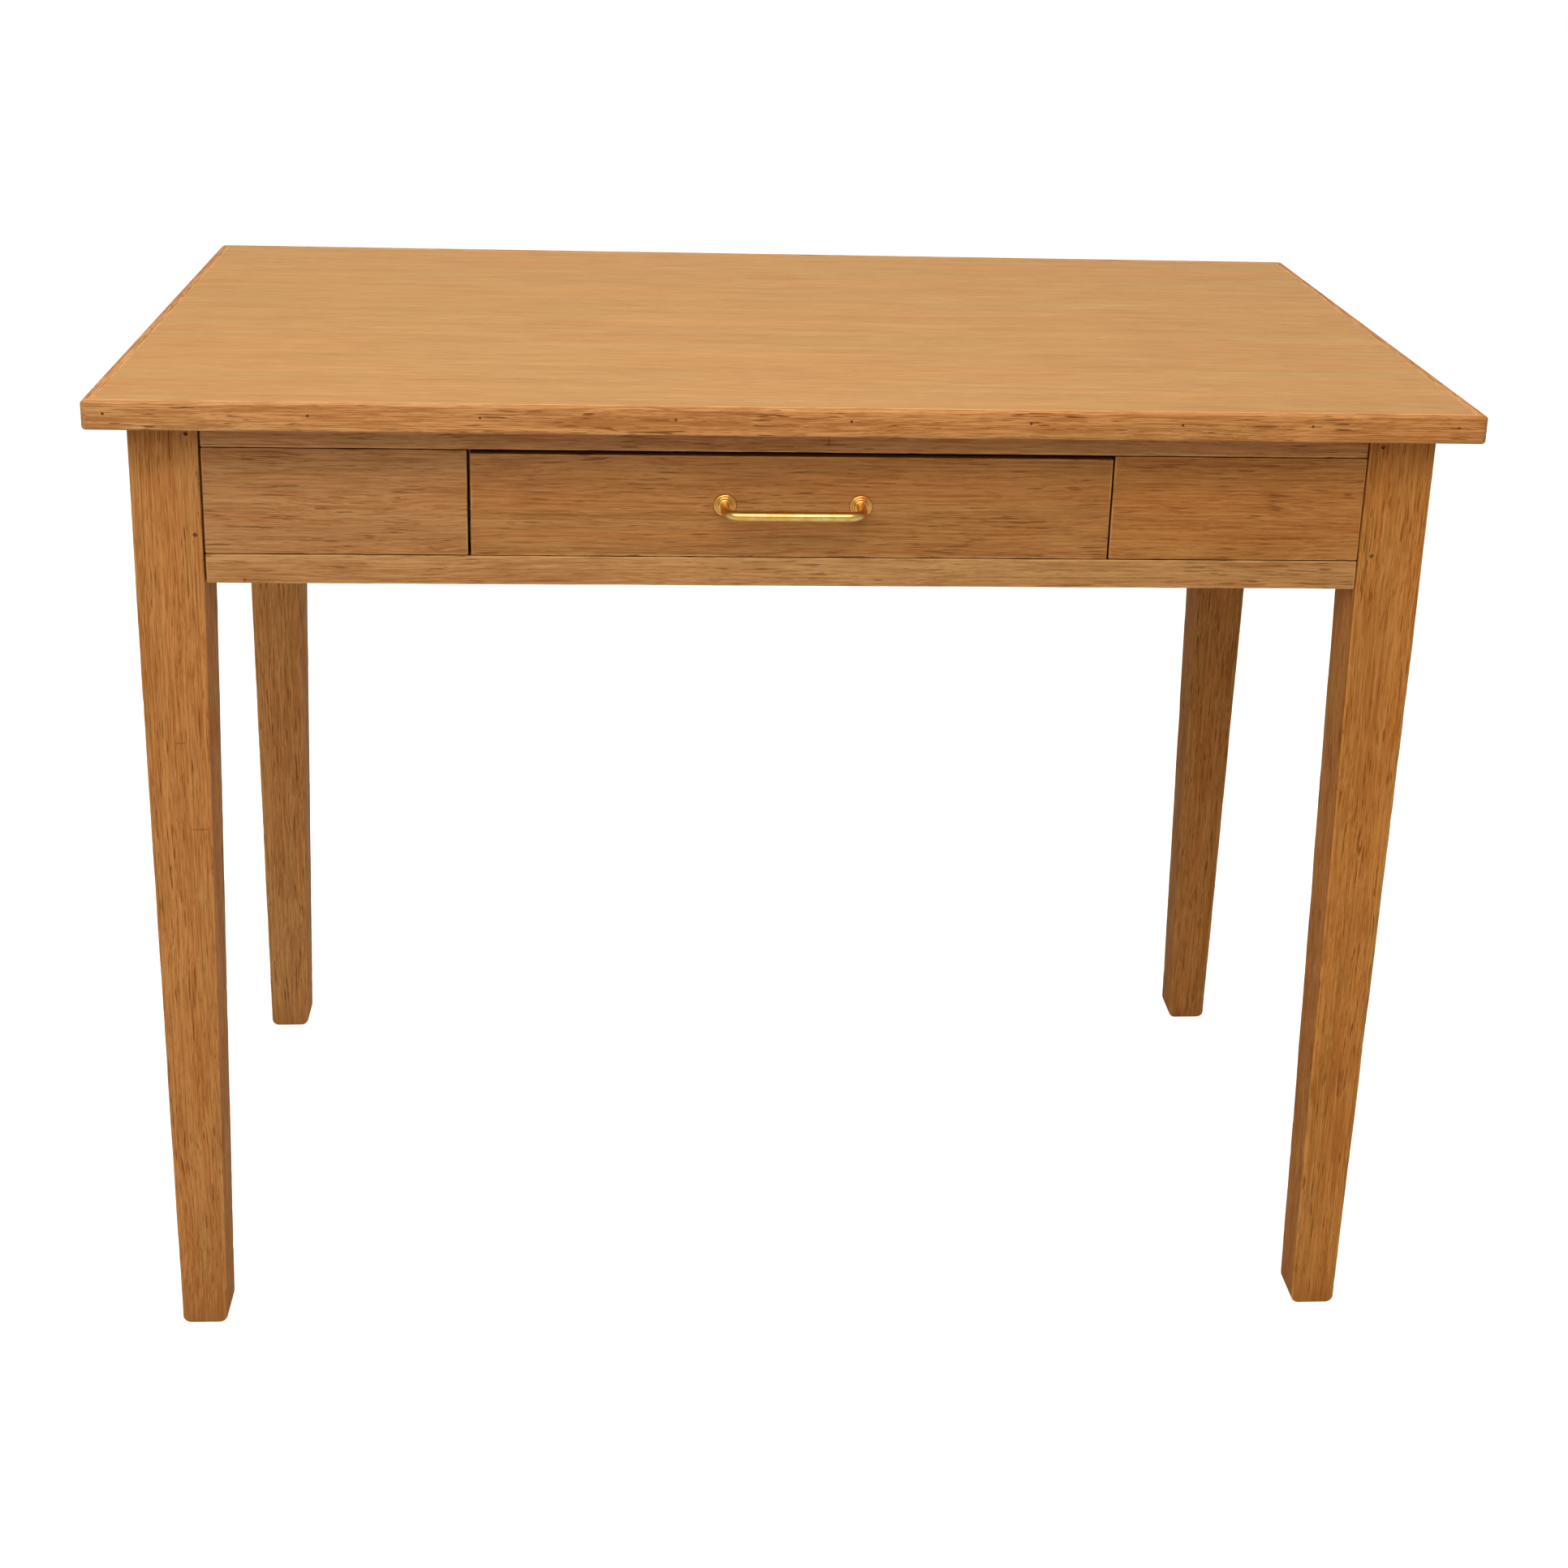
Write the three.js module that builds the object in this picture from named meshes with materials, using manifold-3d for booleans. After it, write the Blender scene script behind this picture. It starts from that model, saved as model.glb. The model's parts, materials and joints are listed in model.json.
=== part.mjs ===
// Oak writing desk: four tapered legs, a framed apron with one drawer between two fixed
// panels, and a veneered top with solid oak lippings.
//
// Millimetres, +Z up. The origin is on the floor under the middle of the top, and the
// drawer opens towards -Y. The frame is glued up with mortises and tenons, and the top is
// held down by wooden buttons whose tongues sit in a groove along the aprons.

import * as THREE from "three";
import { mergeVertices } from "three/addons/utils/BufferGeometryUtils.js";
import Module from "manifold-3d";

const wasm = await Module();
wasm.setup();

// ---------------------------------------------------------------- driving dimensions

const GAP = 0.3; // clearance between any two pieces that touch

const TOP = { width: 956, depth: 540, height: 755, thickness: 19.5, lipping: 6 };

const LEG = {
  outerX: 458, // outer side face at the top
  frontY: -228,
  rearY: 266,
  section: 47.5, // square section behind the apron
  taperStart: 594,
  foot: 34, // square section at the floor
  insetX: 1.5, // how far the outer side face moves in at the floor
  insetY: 7, // how far the front or rear face moves in at the floor
};

const APRON = {
  thickness: 20,
  setBack: 2, // behind the faces of the legs
  bottom: 613,
  lowerRailTop: 634.5,
  upperRailBottom: 712,
  railDepth: 40,
  shoulderGapLeft: 1.2, // the open joint beside the left leg
  shoulderGapRight: 0.6,
};

const OPENING = { halfWidth: 227.5 }; // between the two fixed panels

const DRAWER = {
  frontThickness: 19,
  gapLeft: 2,
  gapRight: 1.2,
  gapTop: 2.8,
  gapBottom: 0.5,
  sideThickness: 10,
  sideTop: 706,
  rear: 214,
  backThickness: 12,
  backInset: 4, // from the rear ends of the sides
  backDrop: 6, // below the tops of the sides
  housingDepth: 4, // of the back, in each side
  bottomThickness: 4,
  bottomLift: 6, // underside of the bottom above the lower edges of the sides
  grooveDepth: 5,
  lap: 7, // oak left in front of the dovetails
};

const HANDLE = {
  centres: 96, // between the two fixings
  height: 673.5,
  barRadius: 3.5,
  projection: 26, // from the drawer front to the middle of the bar
  bendRadius: 11,
  rosetteRadius: 8,
  rosetteThickness: 3.4,
};

const BUTTON = {
  width: 30,
  length: 26,
  grooveBottom: 716,
  grooveTop: 724,
  grooveDepth: 8,
  frontY: -110, // along the side aprons
  rearY: 150,
  rearX: 150, // along the rear apron
};

const MORTISE_GAP = 0.4; // round a tenon or a tongue

// ---------------------------------------------------------------- worked-out dimensions

const topUnderside = TOP.height - TOP.thickness;
const frameTop = topUnderside - GAP;
const frontFace = LEG.frontY + APRON.setBack;
const rearFace = LEG.rearY - APRON.setBack;
const sideFace = LEG.outerX - APRON.setBack;
const legInnerX = LEG.outerX - LEG.section;
const frontLegBack = LEG.frontY + LEG.section;
const rearLegFront = LEG.rearY - LEG.section;
const panelBack = frontFace + APRON.thickness;
const railBack = frontFace + APRON.railDepth;
const rearApronInner = rearFace - APRON.thickness;
const sideApronInner = sideFace - APRON.thickness;
const runnerTop = APRON.lowerRailTop - GAP;
const drawerBase = APRON.lowerRailTop + DRAWER.gapBottom;
const drawerFrontBack = frontFace + DRAWER.frontThickness;
const drawerFrontTop = APRON.upperRailBottom - DRAWER.gapTop;

// ---------------------------------------------------------------- materials

const COLOURS = {
  top: 0xc98f50,
  lipping: 0xb98048,
  leg: 0xb07a3f,
  rail: 0xa8743f,
  drawer: 0xa56d38,
  innerWood: 0xc4a070,
  plywood: 0xcbb083,
  brass: 0xd9a441,
  steel: 0x8d8f92,
  nail: 0x4a3524,
};

function wood(colour) {
  return new THREE.MeshStandardMaterial({ color: colour, roughness: 0.6, metalness: 0 });
}

function metal(colour, roughness) {
  return new THREE.MeshStandardMaterial({ color: colour, roughness, metalness: 1 });
}

// ---------------------------------------------------------------- geometry helpers

// A block is { x: [a, b], y: [c, d], z: [e, f] }, in any order of ends.
function boxGeometry(block) {
  const size = [block.x, block.y, block.z].map(([a, b]) => Math.abs(b - a));
  const centre = [block.x, block.y, block.z].map(([a, b]) => (a + b) / 2);
  return new THREE.BoxGeometry(...size).translate(...centre);
}

// The same block, larger by gap on every side.
function grown(block, gap) {
  const widen = ([a, b]) => (a < b ? [a - gap, b + gap] : [a + gap, b - gap]);
  return { x: widen(block.x), y: widen(block.y), z: widen(block.z) };
}

// The block on the other side of the desk, for side = -1; unchanged for side = 1.
function mirrored(block, side) {
  return { ...block, x: block.x.map((x) => x * side) };
}

function toManifold(geometry) {
  const bare = geometry.clone();
  bare.deleteAttribute("normal");
  bare.deleteAttribute("uv");
  const merged = mergeVertices(bare, 1e-4);
  const vertProperties = new Float32Array(merged.attributes.position.array);
  const triVerts = new Uint32Array(merged.index.array);
  return new wasm.Manifold(new wasm.Mesh({ numProp: 3, vertProperties, triVerts }));
}

function fromManifold(manifold) {
  const mesh = manifold.getMesh();
  const geometry = new THREE.BufferGeometry();
  geometry.setAttribute("position", new THREE.BufferAttribute(mesh.vertProperties, 3));
  geometry.setIndex(new THREE.BufferAttribute(mesh.triVerts, 1));
  geometry.computeVertexNormals();
  return geometry;
}

// base, plus the added geometries, minus the removed ones.
function carve(base, added, removed) {
  let result = toManifold(base);
  for (const extra of added) {
    result = result.add(toManifold(extra));
  }
  for (const hole of removed) {
    result = result.subtract(toManifold(hole));
  }
  return fromManifold(result);
}

// A cylinder along X, Y or Z, from start to end on that axis.
function rod(axis, radius, start, end, centre, sides = 16) {
  const length = Math.abs(end - start);
  const middle = (start + end) / 2;
  const geometry = new THREE.CylinderGeometry(radius, radius, length, sides);
  if (axis === "x") {
    return geometry.rotateZ(Math.PI / 2).translate(middle, centre.y, centre.z);
  }
  if (axis === "y") {
    return geometry.translate(centre.x, middle, centre.z);
  }
  return geometry.rotateX(Math.PI / 2).translate(centre.x, centre.y, middle);
}

const desk = new THREE.Group();

function addPart(name, geometry, material) {
  const mesh = new THREE.Mesh(geometry, material);
  mesh.name = name;
  desk.add(mesh);
}

const SIDES = [
  { name: "left", sign: -1, shoulderGap: APRON.shoulderGapLeft },
  { name: "right", sign: 1, shoulderGap: APRON.shoulderGapRight },
];

// ---------------------------------------------------------------- joints in the frame
// Each function gives the tenon as a block for the right-hand side of the desk.

const CUT_THROUGH = 1; // how far a cutting block reaches past the face it opens
const OVERLAP = 4; // how far a tenon's block starts inside the piece that it grows from

const TENON = {
  length: 22,
  sideLength: 18, // on the side aprons, whose tenons would meet the others
  thickness: 8,
  faceOffset: 6,
  railShoulder: 4,
  topShoulder: 3,
  apronShoulder: 14,
};

const TONGUE = { bottomShoulder: 1.5, topShoulder: 6 }; // on the fixed panels

function frontTenon(bottom, top) {
  const y = frontFace + TENON.faceOffset;
  return {
    x: [legInnerX - OVERLAP, legInnerX + TENON.length],
    y: [y, y + TENON.thickness],
    z: [bottom, top],
  };
}

const lowerRailTenon = frontTenon(
  APRON.bottom + TENON.railShoulder,
  APRON.lowerRailTop - TENON.railShoulder,
);
const upperRailTenon = frontTenon(
  APRON.upperRailBottom + TENON.railShoulder,
  frameTop - TENON.topShoulder,
);
const panelTongue = {
  ...frontTenon(
    APRON.lowerRailTop + TONGUE.bottomShoulder,
    APRON.upperRailBottom - TONGUE.topShoulder,
  ),
  x: [legInnerX - OVERLAP, legInnerX + TENON.length / 2],
};

const apronTenonZ = [APRON.bottom + TENON.apronShoulder, frameTop - TENON.apronShoulder];

function rearApronTenon() {
  const y = rearFace - TENON.faceOffset;
  return {
    x: [legInnerX - OVERLAP, legInnerX + TENON.length],
    y: [y - TENON.thickness, y],
    z: apronTenonZ,
  };
}

function sideApronTenon(legFace, inwards) {
  const x = sideFace - TENON.faceOffset;
  return {
    x: [x - TENON.thickness, x],
    y: [legFace - OVERLAP * inwards, legFace + TENON.sideLength * inwards],
    z: apronTenonZ,
  };
}

const sideTenonFront = sideApronTenon(frontLegBack, -1);
const sideTenonRear = sideApronTenon(rearLegFront, 1);

// Pins driven through the faces of the front legs into the tenons behind them.
const PIN = { radius: 1.1, holeRadius: 1.4, length: 12, sunk: 0.8, sides: 12 };
const LEG_PINS = [
  { side: "left", name: "upper", x: -(legInnerX + 7.5), z: 722 },
  { side: "left", name: "lower", x: -(legInnerX + 4.5), z: 649 },
  { side: "right", name: "upper", x: legInnerX + 9, z: 721 },
  { side: "right", name: "lower", x: legInnerX + 9, z: 639 },
];

function legPinHole(pin) {
  const start = LEG.frontY - CUT_THROUGH;
  const end = LEG.frontY + PIN.sunk + PIN.length + GAP;
  return rod("y", PIN.holeRadius, start, end, pin, PIN.sides);
}

// ---------------------------------------------------------------- legs

// A square post that tapers on all four faces below the apron.
function legGeometry(signX, isFront) {
  const outerY = isFront ? LEG.frontY : LEG.rearY;
  const towardsMiddle = isFront ? 1 : -1;
  const levels = [
    { z: 0, outerX: LEG.outerX - LEG.insetX, inset: LEG.insetY, section: LEG.foot },
    { z: LEG.taperStart, outerX: LEG.outerX, inset: 0, section: LEG.section },
    { z: frameTop, outerX: LEG.outerX, inset: 0, section: LEG.section },
  ];
  const geometry = new THREE.BoxGeometry(1, 1, 1, 1, 1, levels.length - 1);
  const position = geometry.attributes.position;
  for (let i = 0; i < position.count; i += 1) {
    const level = levels[Math.round((position.getZ(i) + 0.5) * (levels.length - 1))];
    const outer = position.getX(i) * signX > 0;
    const alongX = outer ? level.outerX : level.outerX - level.section;
    const isOuterY = position.getY(i) * towardsMiddle < 0;
    const alongY = level.inset + (isOuterY ? 0 : level.section);
    position.setXYZ(i, signX * alongX, outerY + towardsMiddle * alongY, level.z);
  }
  return geometry;
}

for (const { name, sign } of SIDES) {
  const mortise = (tenon) => boxGeometry(grown(mirrored(tenon, sign), MORTISE_GAP));
  const pins = LEG_PINS.filter((pin) => pin.side === name);
  const frontCuts = [
    ...[lowerRailTenon, upperRailTenon, panelTongue, sideTenonFront].map(mortise),
    ...pins.map(legPinHole),
  ];
  const rearCuts = [rearApronTenon(), sideTenonRear].map(mortise);
  addPart(`leg_front_${name}`, carve(legGeometry(sign, true), [], frontCuts), wood(COLOURS.leg));
  addPart(`leg_rear_${name}`, carve(legGeometry(sign, false), [], rearCuts), wood(COLOURS.leg));
}

for (const pin of LEG_PINS) {
  const start = LEG.frontY + PIN.sunk;
  const geometry = rod("y", PIN.radius, start, start + PIN.length, pin, PIN.sides);
  addPart(`leg_pin_${pin.side}_${pin.name}`, geometry, metal(COLOURS.nail, 0.7));
}

// ---------------------------------------------------------------- front of the apron

const STUB = { width: 14, height: 8, length: 8 }; // tenon on the end of a runner or kicker
const RUNNER = { innerX: 205, outerX: 246, lift: 1, stubLift: 7 }; // above the rail's underside
const KICKER = { innerX: 204, outerX: 232, clearance: 2, height: 20, stubLift: 4 };
const GUIDE = { clearance: 0.5, top: 662 }; // beside the drawer, level with its sides
const STOP = { innerX: 150, outerX: 176, length: 15, clearance: 1.5 }; // behind the drawer front

const behindRailY = [railBack + GAP, rearApronInner - GAP];
const runner = {
  x: [RUNNER.innerX, RUNNER.outerX],
  y: behindRailY,
  z: [APRON.bottom + RUNNER.lift, runnerTop],
};
const kickerBottom = DRAWER.sideTop + KICKER.clearance;
const kicker = {
  x: [KICKER.innerX, KICKER.outerX],
  y: behindRailY,
  z: [kickerBottom, kickerBottom + KICKER.height],
};

function stubTenons(rail, bottom) {
  const middle = (rail.x[0] + rail.x[1]) / 2;
  const x = [middle - STUB.width / 2, middle + STUB.width / 2];
  const z = [bottom, bottom + STUB.height];
  return [
    { x, y: [rail.y[0] - STUB.length, rail.y[0] + OVERLAP], z },
    { x, y: [rail.y[1] - OVERLAP, rail.y[1] + STUB.length], z },
  ];
}

const runnerStubs = stubTenons(runner, APRON.bottom + RUNNER.stubLift);
const kickerStubs = stubTenons(kicker, APRON.upperRailBottom + KICKER.stubLift);

function stubMortises(stubs, end) {
  return SIDES.map(({ sign }) => boxGeometry(grown(mirrored(stubs[end], sign), MORTISE_GAP)));
}

// The pins stop inside the tenons, so each tenon they meet has a hole.
function tenonPinHoles() {
  return LEG_PINS.map(legPinHole);
}

function frontRail(bottom, top, tenon, stubs) {
  const body = {
    x: [-(legInnerX - APRON.shoulderGapLeft), legInnerX - APRON.shoulderGapRight],
    y: [frontFace, railBack],
    z: [bottom, top],
  };
  const tenons = SIDES.map(({ sign }) => boxGeometry(mirrored(tenon, sign)));
  return carve(boxGeometry(body), tenons, [...stubMortises(stubs, 0), ...tenonPinHoles()]);
}

const upperRail = frontRail(APRON.upperRailBottom, frameTop, upperRailTenon, kickerStubs);
addPart("upper_front_rail", upperRail, wood(COLOURS.rail));

const lowerRail = frontRail(APRON.bottom, APRON.lowerRailTop, lowerRailTenon, runnerStubs);
addPart("lower_front_rail", lowerRail, wood(COLOURS.rail));

for (const { name, sign, shoulderGap } of SIDES) {
  const body = {
    x: [OPENING.halfWidth, legInnerX - shoulderGap],
    y: [frontFace, panelBack],
    z: [APRON.lowerRailTop + GAP, APRON.upperRailBottom - GAP],
  };
  const tongue = boxGeometry(mirrored(panelTongue, sign));
  const panel = carve(boxGeometry(mirrored(body, sign)), [tongue], tenonPinHoles());
  addPart(`front_panel_${name}`, panel, wood(COLOURS.drawer));
}

// ---------------------------------------------------------------- side and rear aprons

const grooveZ = [BUTTON.grooveBottom, BUTTON.grooveTop];

for (const { name, sign } of SIDES) {
  const body = {
    x: [sideApronInner, sideFace],
    y: [frontLegBack + GAP, rearLegFront - GAP],
    z: [APRON.bottom, frameTop],
  };
  const groove = {
    x: [sideApronInner - CUT_THROUGH, sideApronInner + BUTTON.grooveDepth],
    y: [frontLegBack - CUT_THROUGH, rearLegFront + CUT_THROUGH],
    z: grooveZ,
  };
  const [apron, front, rear, slot] = [body, sideTenonFront, sideTenonRear, groove].map((block) =>
    boxGeometry(mirrored(block, sign)),
  );
  addPart(`side_apron_${name}`, carve(apron, [front, rear], [slot]), wood(COLOURS.rail));
}

const rearApron = {
  x: [-(legInnerX - GAP), legInnerX - GAP],
  y: [rearApronInner, rearFace],
  z: [APRON.bottom, frameTop],
};
const rearGroove = {
  x: [-legInnerX, legInnerX],
  y: [rearApronInner - CUT_THROUGH, rearApronInner + BUTTON.grooveDepth],
  z: grooveZ,
};
const rearTenons = SIDES.map(({ sign }) => boxGeometry(mirrored(rearApronTenon(), sign)));
const rearCuts = [
  boxGeometry(rearGroove),
  ...stubMortises(runnerStubs, 1),
  ...stubMortises(kickerStubs, 1),
];
const rearApronGeometry = carve(boxGeometry(rearApron), rearTenons, rearCuts);
addPart("rear_apron", rearApronGeometry, wood(COLOURS.rail));

// ---------------------------------------------------------------- drawer guidance

const guide = {
  x: [OPENING.halfWidth - GUIDE.clearance, RUNNER.outerX],
  y: [panelBack + GAP, rearApronInner - GAP],
  z: [APRON.lowerRailTop, GUIDE.top],
};
const stop = {
  x: [STOP.innerX, STOP.outerX],
  y: [drawerFrontBack + GAP, drawerFrontBack + STOP.length],
  z: [APRON.lowerRailTop + GAP, drawerBase + DRAWER.bottomLift - STOP.clearance],
};

for (const { name, sign } of SIDES) {
  const withStubs = (rail, stubs) =>
    carve(
      boxGeometry(mirrored(rail, sign)),
      stubs.map((stub) => boxGeometry(mirrored(stub, sign))),
      [],
    );
  addPart(`drawer_runner_${name}`, withStubs(runner, runnerStubs), wood(COLOURS.innerWood));
  addPart(`drawer_kicker_${name}`, withStubs(kicker, kickerStubs), wood(COLOURS.innerWood));
  addPart(`drawer_guide_${name}`, boxGeometry(mirrored(guide, sign)), wood(COLOURS.innerWood));
  addPart(`drawer_stop_${name}`, boxGeometry(mirrored(stop, sign)), wood(COLOURS.innerWood));
}

// ---------------------------------------------------------------- top and its fixings

// Where the buttons sit: a point on the inner face of an apron, and the way to the apron.
const BUTTON_PLACES = [
  { name: "left_front", x: -sideApronInner, y: BUTTON.frontY, angle: Math.PI },
  { name: "left_rear", x: -sideApronInner, y: BUTTON.rearY, angle: Math.PI },
  { name: "right_front", x: sideApronInner, y: BUTTON.frontY, angle: 0 },
  { name: "right_rear", x: sideApronInner, y: BUTTON.rearY, angle: 0 },
  { name: "rear_left", x: -BUTTON.rearX, y: rearApronInner, angle: Math.PI / 2 },
  { name: "rear_right", x: BUTTON.rearX, y: rearApronInner, angle: Math.PI / 2 },
];

const SCREW = {
  headRadius: 3.6,
  headHeight: 2.4,
  shankRadius: 1.8,
  rimHeight: 0.3, // of the head's edge, before it slopes to the shank
  tipRadius: 0.3,
  tipLength: 3,
  length: 30,
  fromApron: 15, // from the apron's inner face to the screw's axis
  clearance: 0.3,
  sides: 16,
};

// The button in its own place: the apron's face is the plane x = 0, the apron beyond it.
const buttonBody = {
  x: [-BUTTON.length, -GAP],
  y: [-BUTTON.width / 2, BUTTON.width / 2],
  z: [BUTTON.grooveBottom + GAP, frameTop],
};
const buttonTongue = {
  x: [-OVERLAP, BUTTON.grooveDepth - GAP],
  y: buttonBody.y,
  z: [BUTTON.grooveBottom + GAP, BUTTON.grooveTop - GAP],
};
const screwBase = buttonBody.z[0];

// A countersunk wood screw, head down, as a profile turned about Z. grow widens it all round.
function screwGeometry(grow) {
  const { headRadius, headHeight, rimHeight, shankRadius, tipRadius, tipLength, length } = SCREW;
  const profile = [
    [0, screwBase - grow],
    [headRadius + grow, screwBase - grow],
    [headRadius + grow, screwBase + rimHeight],
    [shankRadius + grow, screwBase + headHeight + grow],
    [shankRadius + grow, screwBase + length - tipLength],
    [tipRadius + grow, screwBase + length + grow],
    [0, screwBase + length + grow],
  ];
  const points = profile.map(([radius, z]) => new THREE.Vector2(radius, z));
  return new THREE.LatheGeometry(points, SCREW.sides).rotateX(Math.PI / 2);
}

function atButton(geometry, place, alongX = 0) {
  return geometry
    .translate(alongX, 0, 0)
    .rotateZ(place.angle)
    .translate(place.x, place.y, 0);
}

const screwHoles = BUTTON_PLACES.map((place) =>
  atButton(screwGeometry(SCREW.clearance), place, -SCREW.fromApron),
);

for (const place of BUTTON_PLACES) {
  const hole = screwGeometry(SCREW.clearance).translate(-SCREW.fromApron, 0, 0);
  const body = boxGeometry(buttonBody);
  const button = carve(body, [boxGeometry(buttonTongue)], [hole]);
  addPart(`top_button_${place.name}`, atButton(button, place), wood(COLOURS.innerWood));
  const screw = atButton(screwGeometry(0), place, -SCREW.fromApron);
  addPart(`button_screw_${place.name}`, screw, metal(COLOURS.steel, 0.4));
}

const halfWidth = TOP.width / 2;
const halfDepth = TOP.depth / 2;
const boardHalfWidth = halfWidth - TOP.lipping;
const boardHalfDepth = halfDepth - TOP.lipping;
const topZ = [topUnderside, TOP.height];

// Nails through the front lipping into the edge of the board, as places along X.
const LIPPING_NAILS = [-463, -329, -215, -84, 35, 158, 263, 354, 457];
const NAIL = { radius: 0.9, holeRadius: 1.2, length: 22, sunk: 0.8, height: 11.5, sides: 10 };
const nailZ = topUnderside + NAIL.height;
const nailStart = -halfDepth + NAIL.sunk;
const nailEnd = nailStart + NAIL.length;

const nailHoles = LIPPING_NAILS.map((x) =>
  rod("y", NAIL.holeRadius, -halfDepth - CUT_THROUGH, nailEnd + GAP, { x, z: nailZ }, NAIL.sides),
);

const board = {
  x: [-boardHalfWidth, boardHalfWidth],
  y: [-boardHalfDepth, boardHalfDepth],
  z: topZ,
};
const topPanel = carve(boxGeometry(board), [], [...screwHoles, ...nailHoles]);
addPart("top_panel", topPanel, wood(COLOURS.top));

const frontLipping = {
  x: [-halfWidth, halfWidth],
  y: [-halfDepth, -boardHalfDepth - GAP],
  z: topZ,
};
addPart("lipping_front", carve(boxGeometry(frontLipping), [], nailHoles), wood(COLOURS.lipping));

const rearLipping = { ...frontLipping, y: [boardHalfDepth + GAP, halfDepth] };
addPart("lipping_rear", boxGeometry(rearLipping), wood(COLOURS.lipping));

for (const { name, sign } of SIDES) {
  const strip = { x: [boardHalfWidth + GAP, halfWidth], y: board.y, z: topZ };
  addPart(`lipping_${name}`, boxGeometry(mirrored(strip, sign)), wood(COLOURS.lipping));
}

LIPPING_NAILS.forEach((x, i) => {
  const geometry = rod("y", NAIL.radius, nailStart, nailEnd, { x, z: nailZ }, NAIL.sides);
  addPart(`lipping_nail_${i + 1}`, geometry, metal(COLOURS.nail, 0.7));
});

// ---------------------------------------------------------------- drawer
// The drawer is built about x = 0 and then moved by drawerShift, because its gaps differ.

const DOVETAIL = { count: 3, narrow: 11, wide: 15 };
const drawerHalfWidth = OPENING.halfWidth - (DRAWER.gapLeft + DRAWER.gapRight) / 2;
const drawerShift = (DRAWER.gapLeft - DRAWER.gapRight) / 2;
const sideInnerX = drawerHalfWidth - DRAWER.sideThickness;
const sideFrontEnd = drawerFrontBack + GAP;
const bottomZ = [
  drawerBase + DRAWER.bottomLift,
  drawerBase + DRAWER.bottomLift + DRAWER.bottomThickness,
];
const bottomGroove = {
  x: [-(sideInnerX + DRAWER.grooveDepth), sideInnerX + DRAWER.grooveDepth],
  y: [drawerFrontBack - DRAWER.grooveDepth, DRAWER.rear + CUT_THROUGH],
  z: [bottomZ[0] - GAP, bottomZ[1] + GAP],
};
const backRear = DRAWER.rear - DRAWER.backInset;
const backY = [backRear - DRAWER.backThickness, backRear];

function addDrawerPart(name, geometry, material) {
  addPart(name, geometry.translate(drawerShift, 0, 0), material);
}

// One dovetail at height z: a trapezium in the YZ plane, drawn out across the side.
function dovetail(sign, z, grow) {
  const tip = frontFace + DRAWER.lap - grow;
  const root = sideFrontEnd + CUT_THROUGH;
  const narrow = DOVETAIL.narrow / 2 + grow;
  const wide = DOVETAIL.wide / 2 + grow;
  const outline = new THREE.Shape([
    new THREE.Vector2(tip, z - wide),
    new THREE.Vector2(root, z - narrow),
    new THREE.Vector2(root, z + narrow),
    new THREE.Vector2(tip, z + wide),
  ]);
  const depth = DRAWER.sideThickness + 2 * grow;
  const geometry = new THREE.ExtrudeGeometry(outline, { depth, bevelEnabled: false });
  // The outline's own axes turn into Y and Z, and the extrusion runs along X.
  const [alongX, alongY, alongZ] = [0, 1, 2].map((i) => new THREE.Vector3().setComponent(i, 1));
  geometry.applyMatrix4(new THREE.Matrix4().makeBasis(alongY, alongZ, alongX));
  return geometry.translate((sign > 0 ? sideInnerX : -drawerHalfWidth) - grow, 0, 0);
}

function dovetails(sign, grow) {
  const spacing = (DRAWER.sideTop - drawerBase) / DOVETAIL.count;
  const heights = Array.from({ length: DOVETAIL.count }, (_, i) => (i + 0.5) * spacing);
  return heights.map((height) => dovetail(sign, drawerBase + height, grow));
}

// Screws through the drawer front into the ends of the handle.
const HANDLE_SCREW = {
  headRadius: 3.2,
  headHeight: 2.2,
  shankRadius: 1.5,
  holeRadius: 1.9,
  depthInHandle: 10,
  sides: 16,
};
const ROSETTE_SIDES = 32;
const handleEnds = [-HANDLE.centres / 2, HANDLE.centres / 2];

function handleHole(x, start, end) {
  const centre = { x, z: HANDLE.height };
  return rod("y", HANDLE_SCREW.holeRadius, start, end, centre, HANDLE_SCREW.sides);
}

const frontBoard = {
  x: [-drawerHalfWidth, drawerHalfWidth],
  y: [frontFace, drawerFrontBack],
  z: [drawerBase, drawerFrontTop],
};
const frontBoardCuts = [
  boxGeometry(bottomGroove),
  ...SIDES.flatMap(({ sign }) => dovetails(sign, GAP)),
  ...handleEnds.map((x) => handleHole(x, frontFace - CUT_THROUGH, drawerFrontBack + CUT_THROUGH)),
];
const drawerFront = carve(boxGeometry(frontBoard), [], frontBoardCuts);
addDrawerPart("drawer_front", drawerFront, wood(COLOURS.drawer));

for (const { name, sign } of SIDES) {
  const board = {
    x: [sideInnerX, drawerHalfWidth],
    y: [sideFrontEnd, DRAWER.rear],
    z: [drawerBase, DRAWER.sideTop],
  };
  const housing = {
    x: [sideInnerX - CUT_THROUGH, sideInnerX + DRAWER.housingDepth],
    y: [backY[0] - GAP, backY[1] + GAP],
    z: [bottomZ[0], DRAWER.sideTop + CUT_THROUGH],
  };
  const cuts = [boxGeometry(bottomGroove), boxGeometry(mirrored(housing, sign))];
  const side = carve(boxGeometry(mirrored(board, sign)), dovetails(sign, 0), cuts);
  addDrawerPart(`drawer_side_${name}`, side, wood(COLOURS.innerWood));
}

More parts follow.
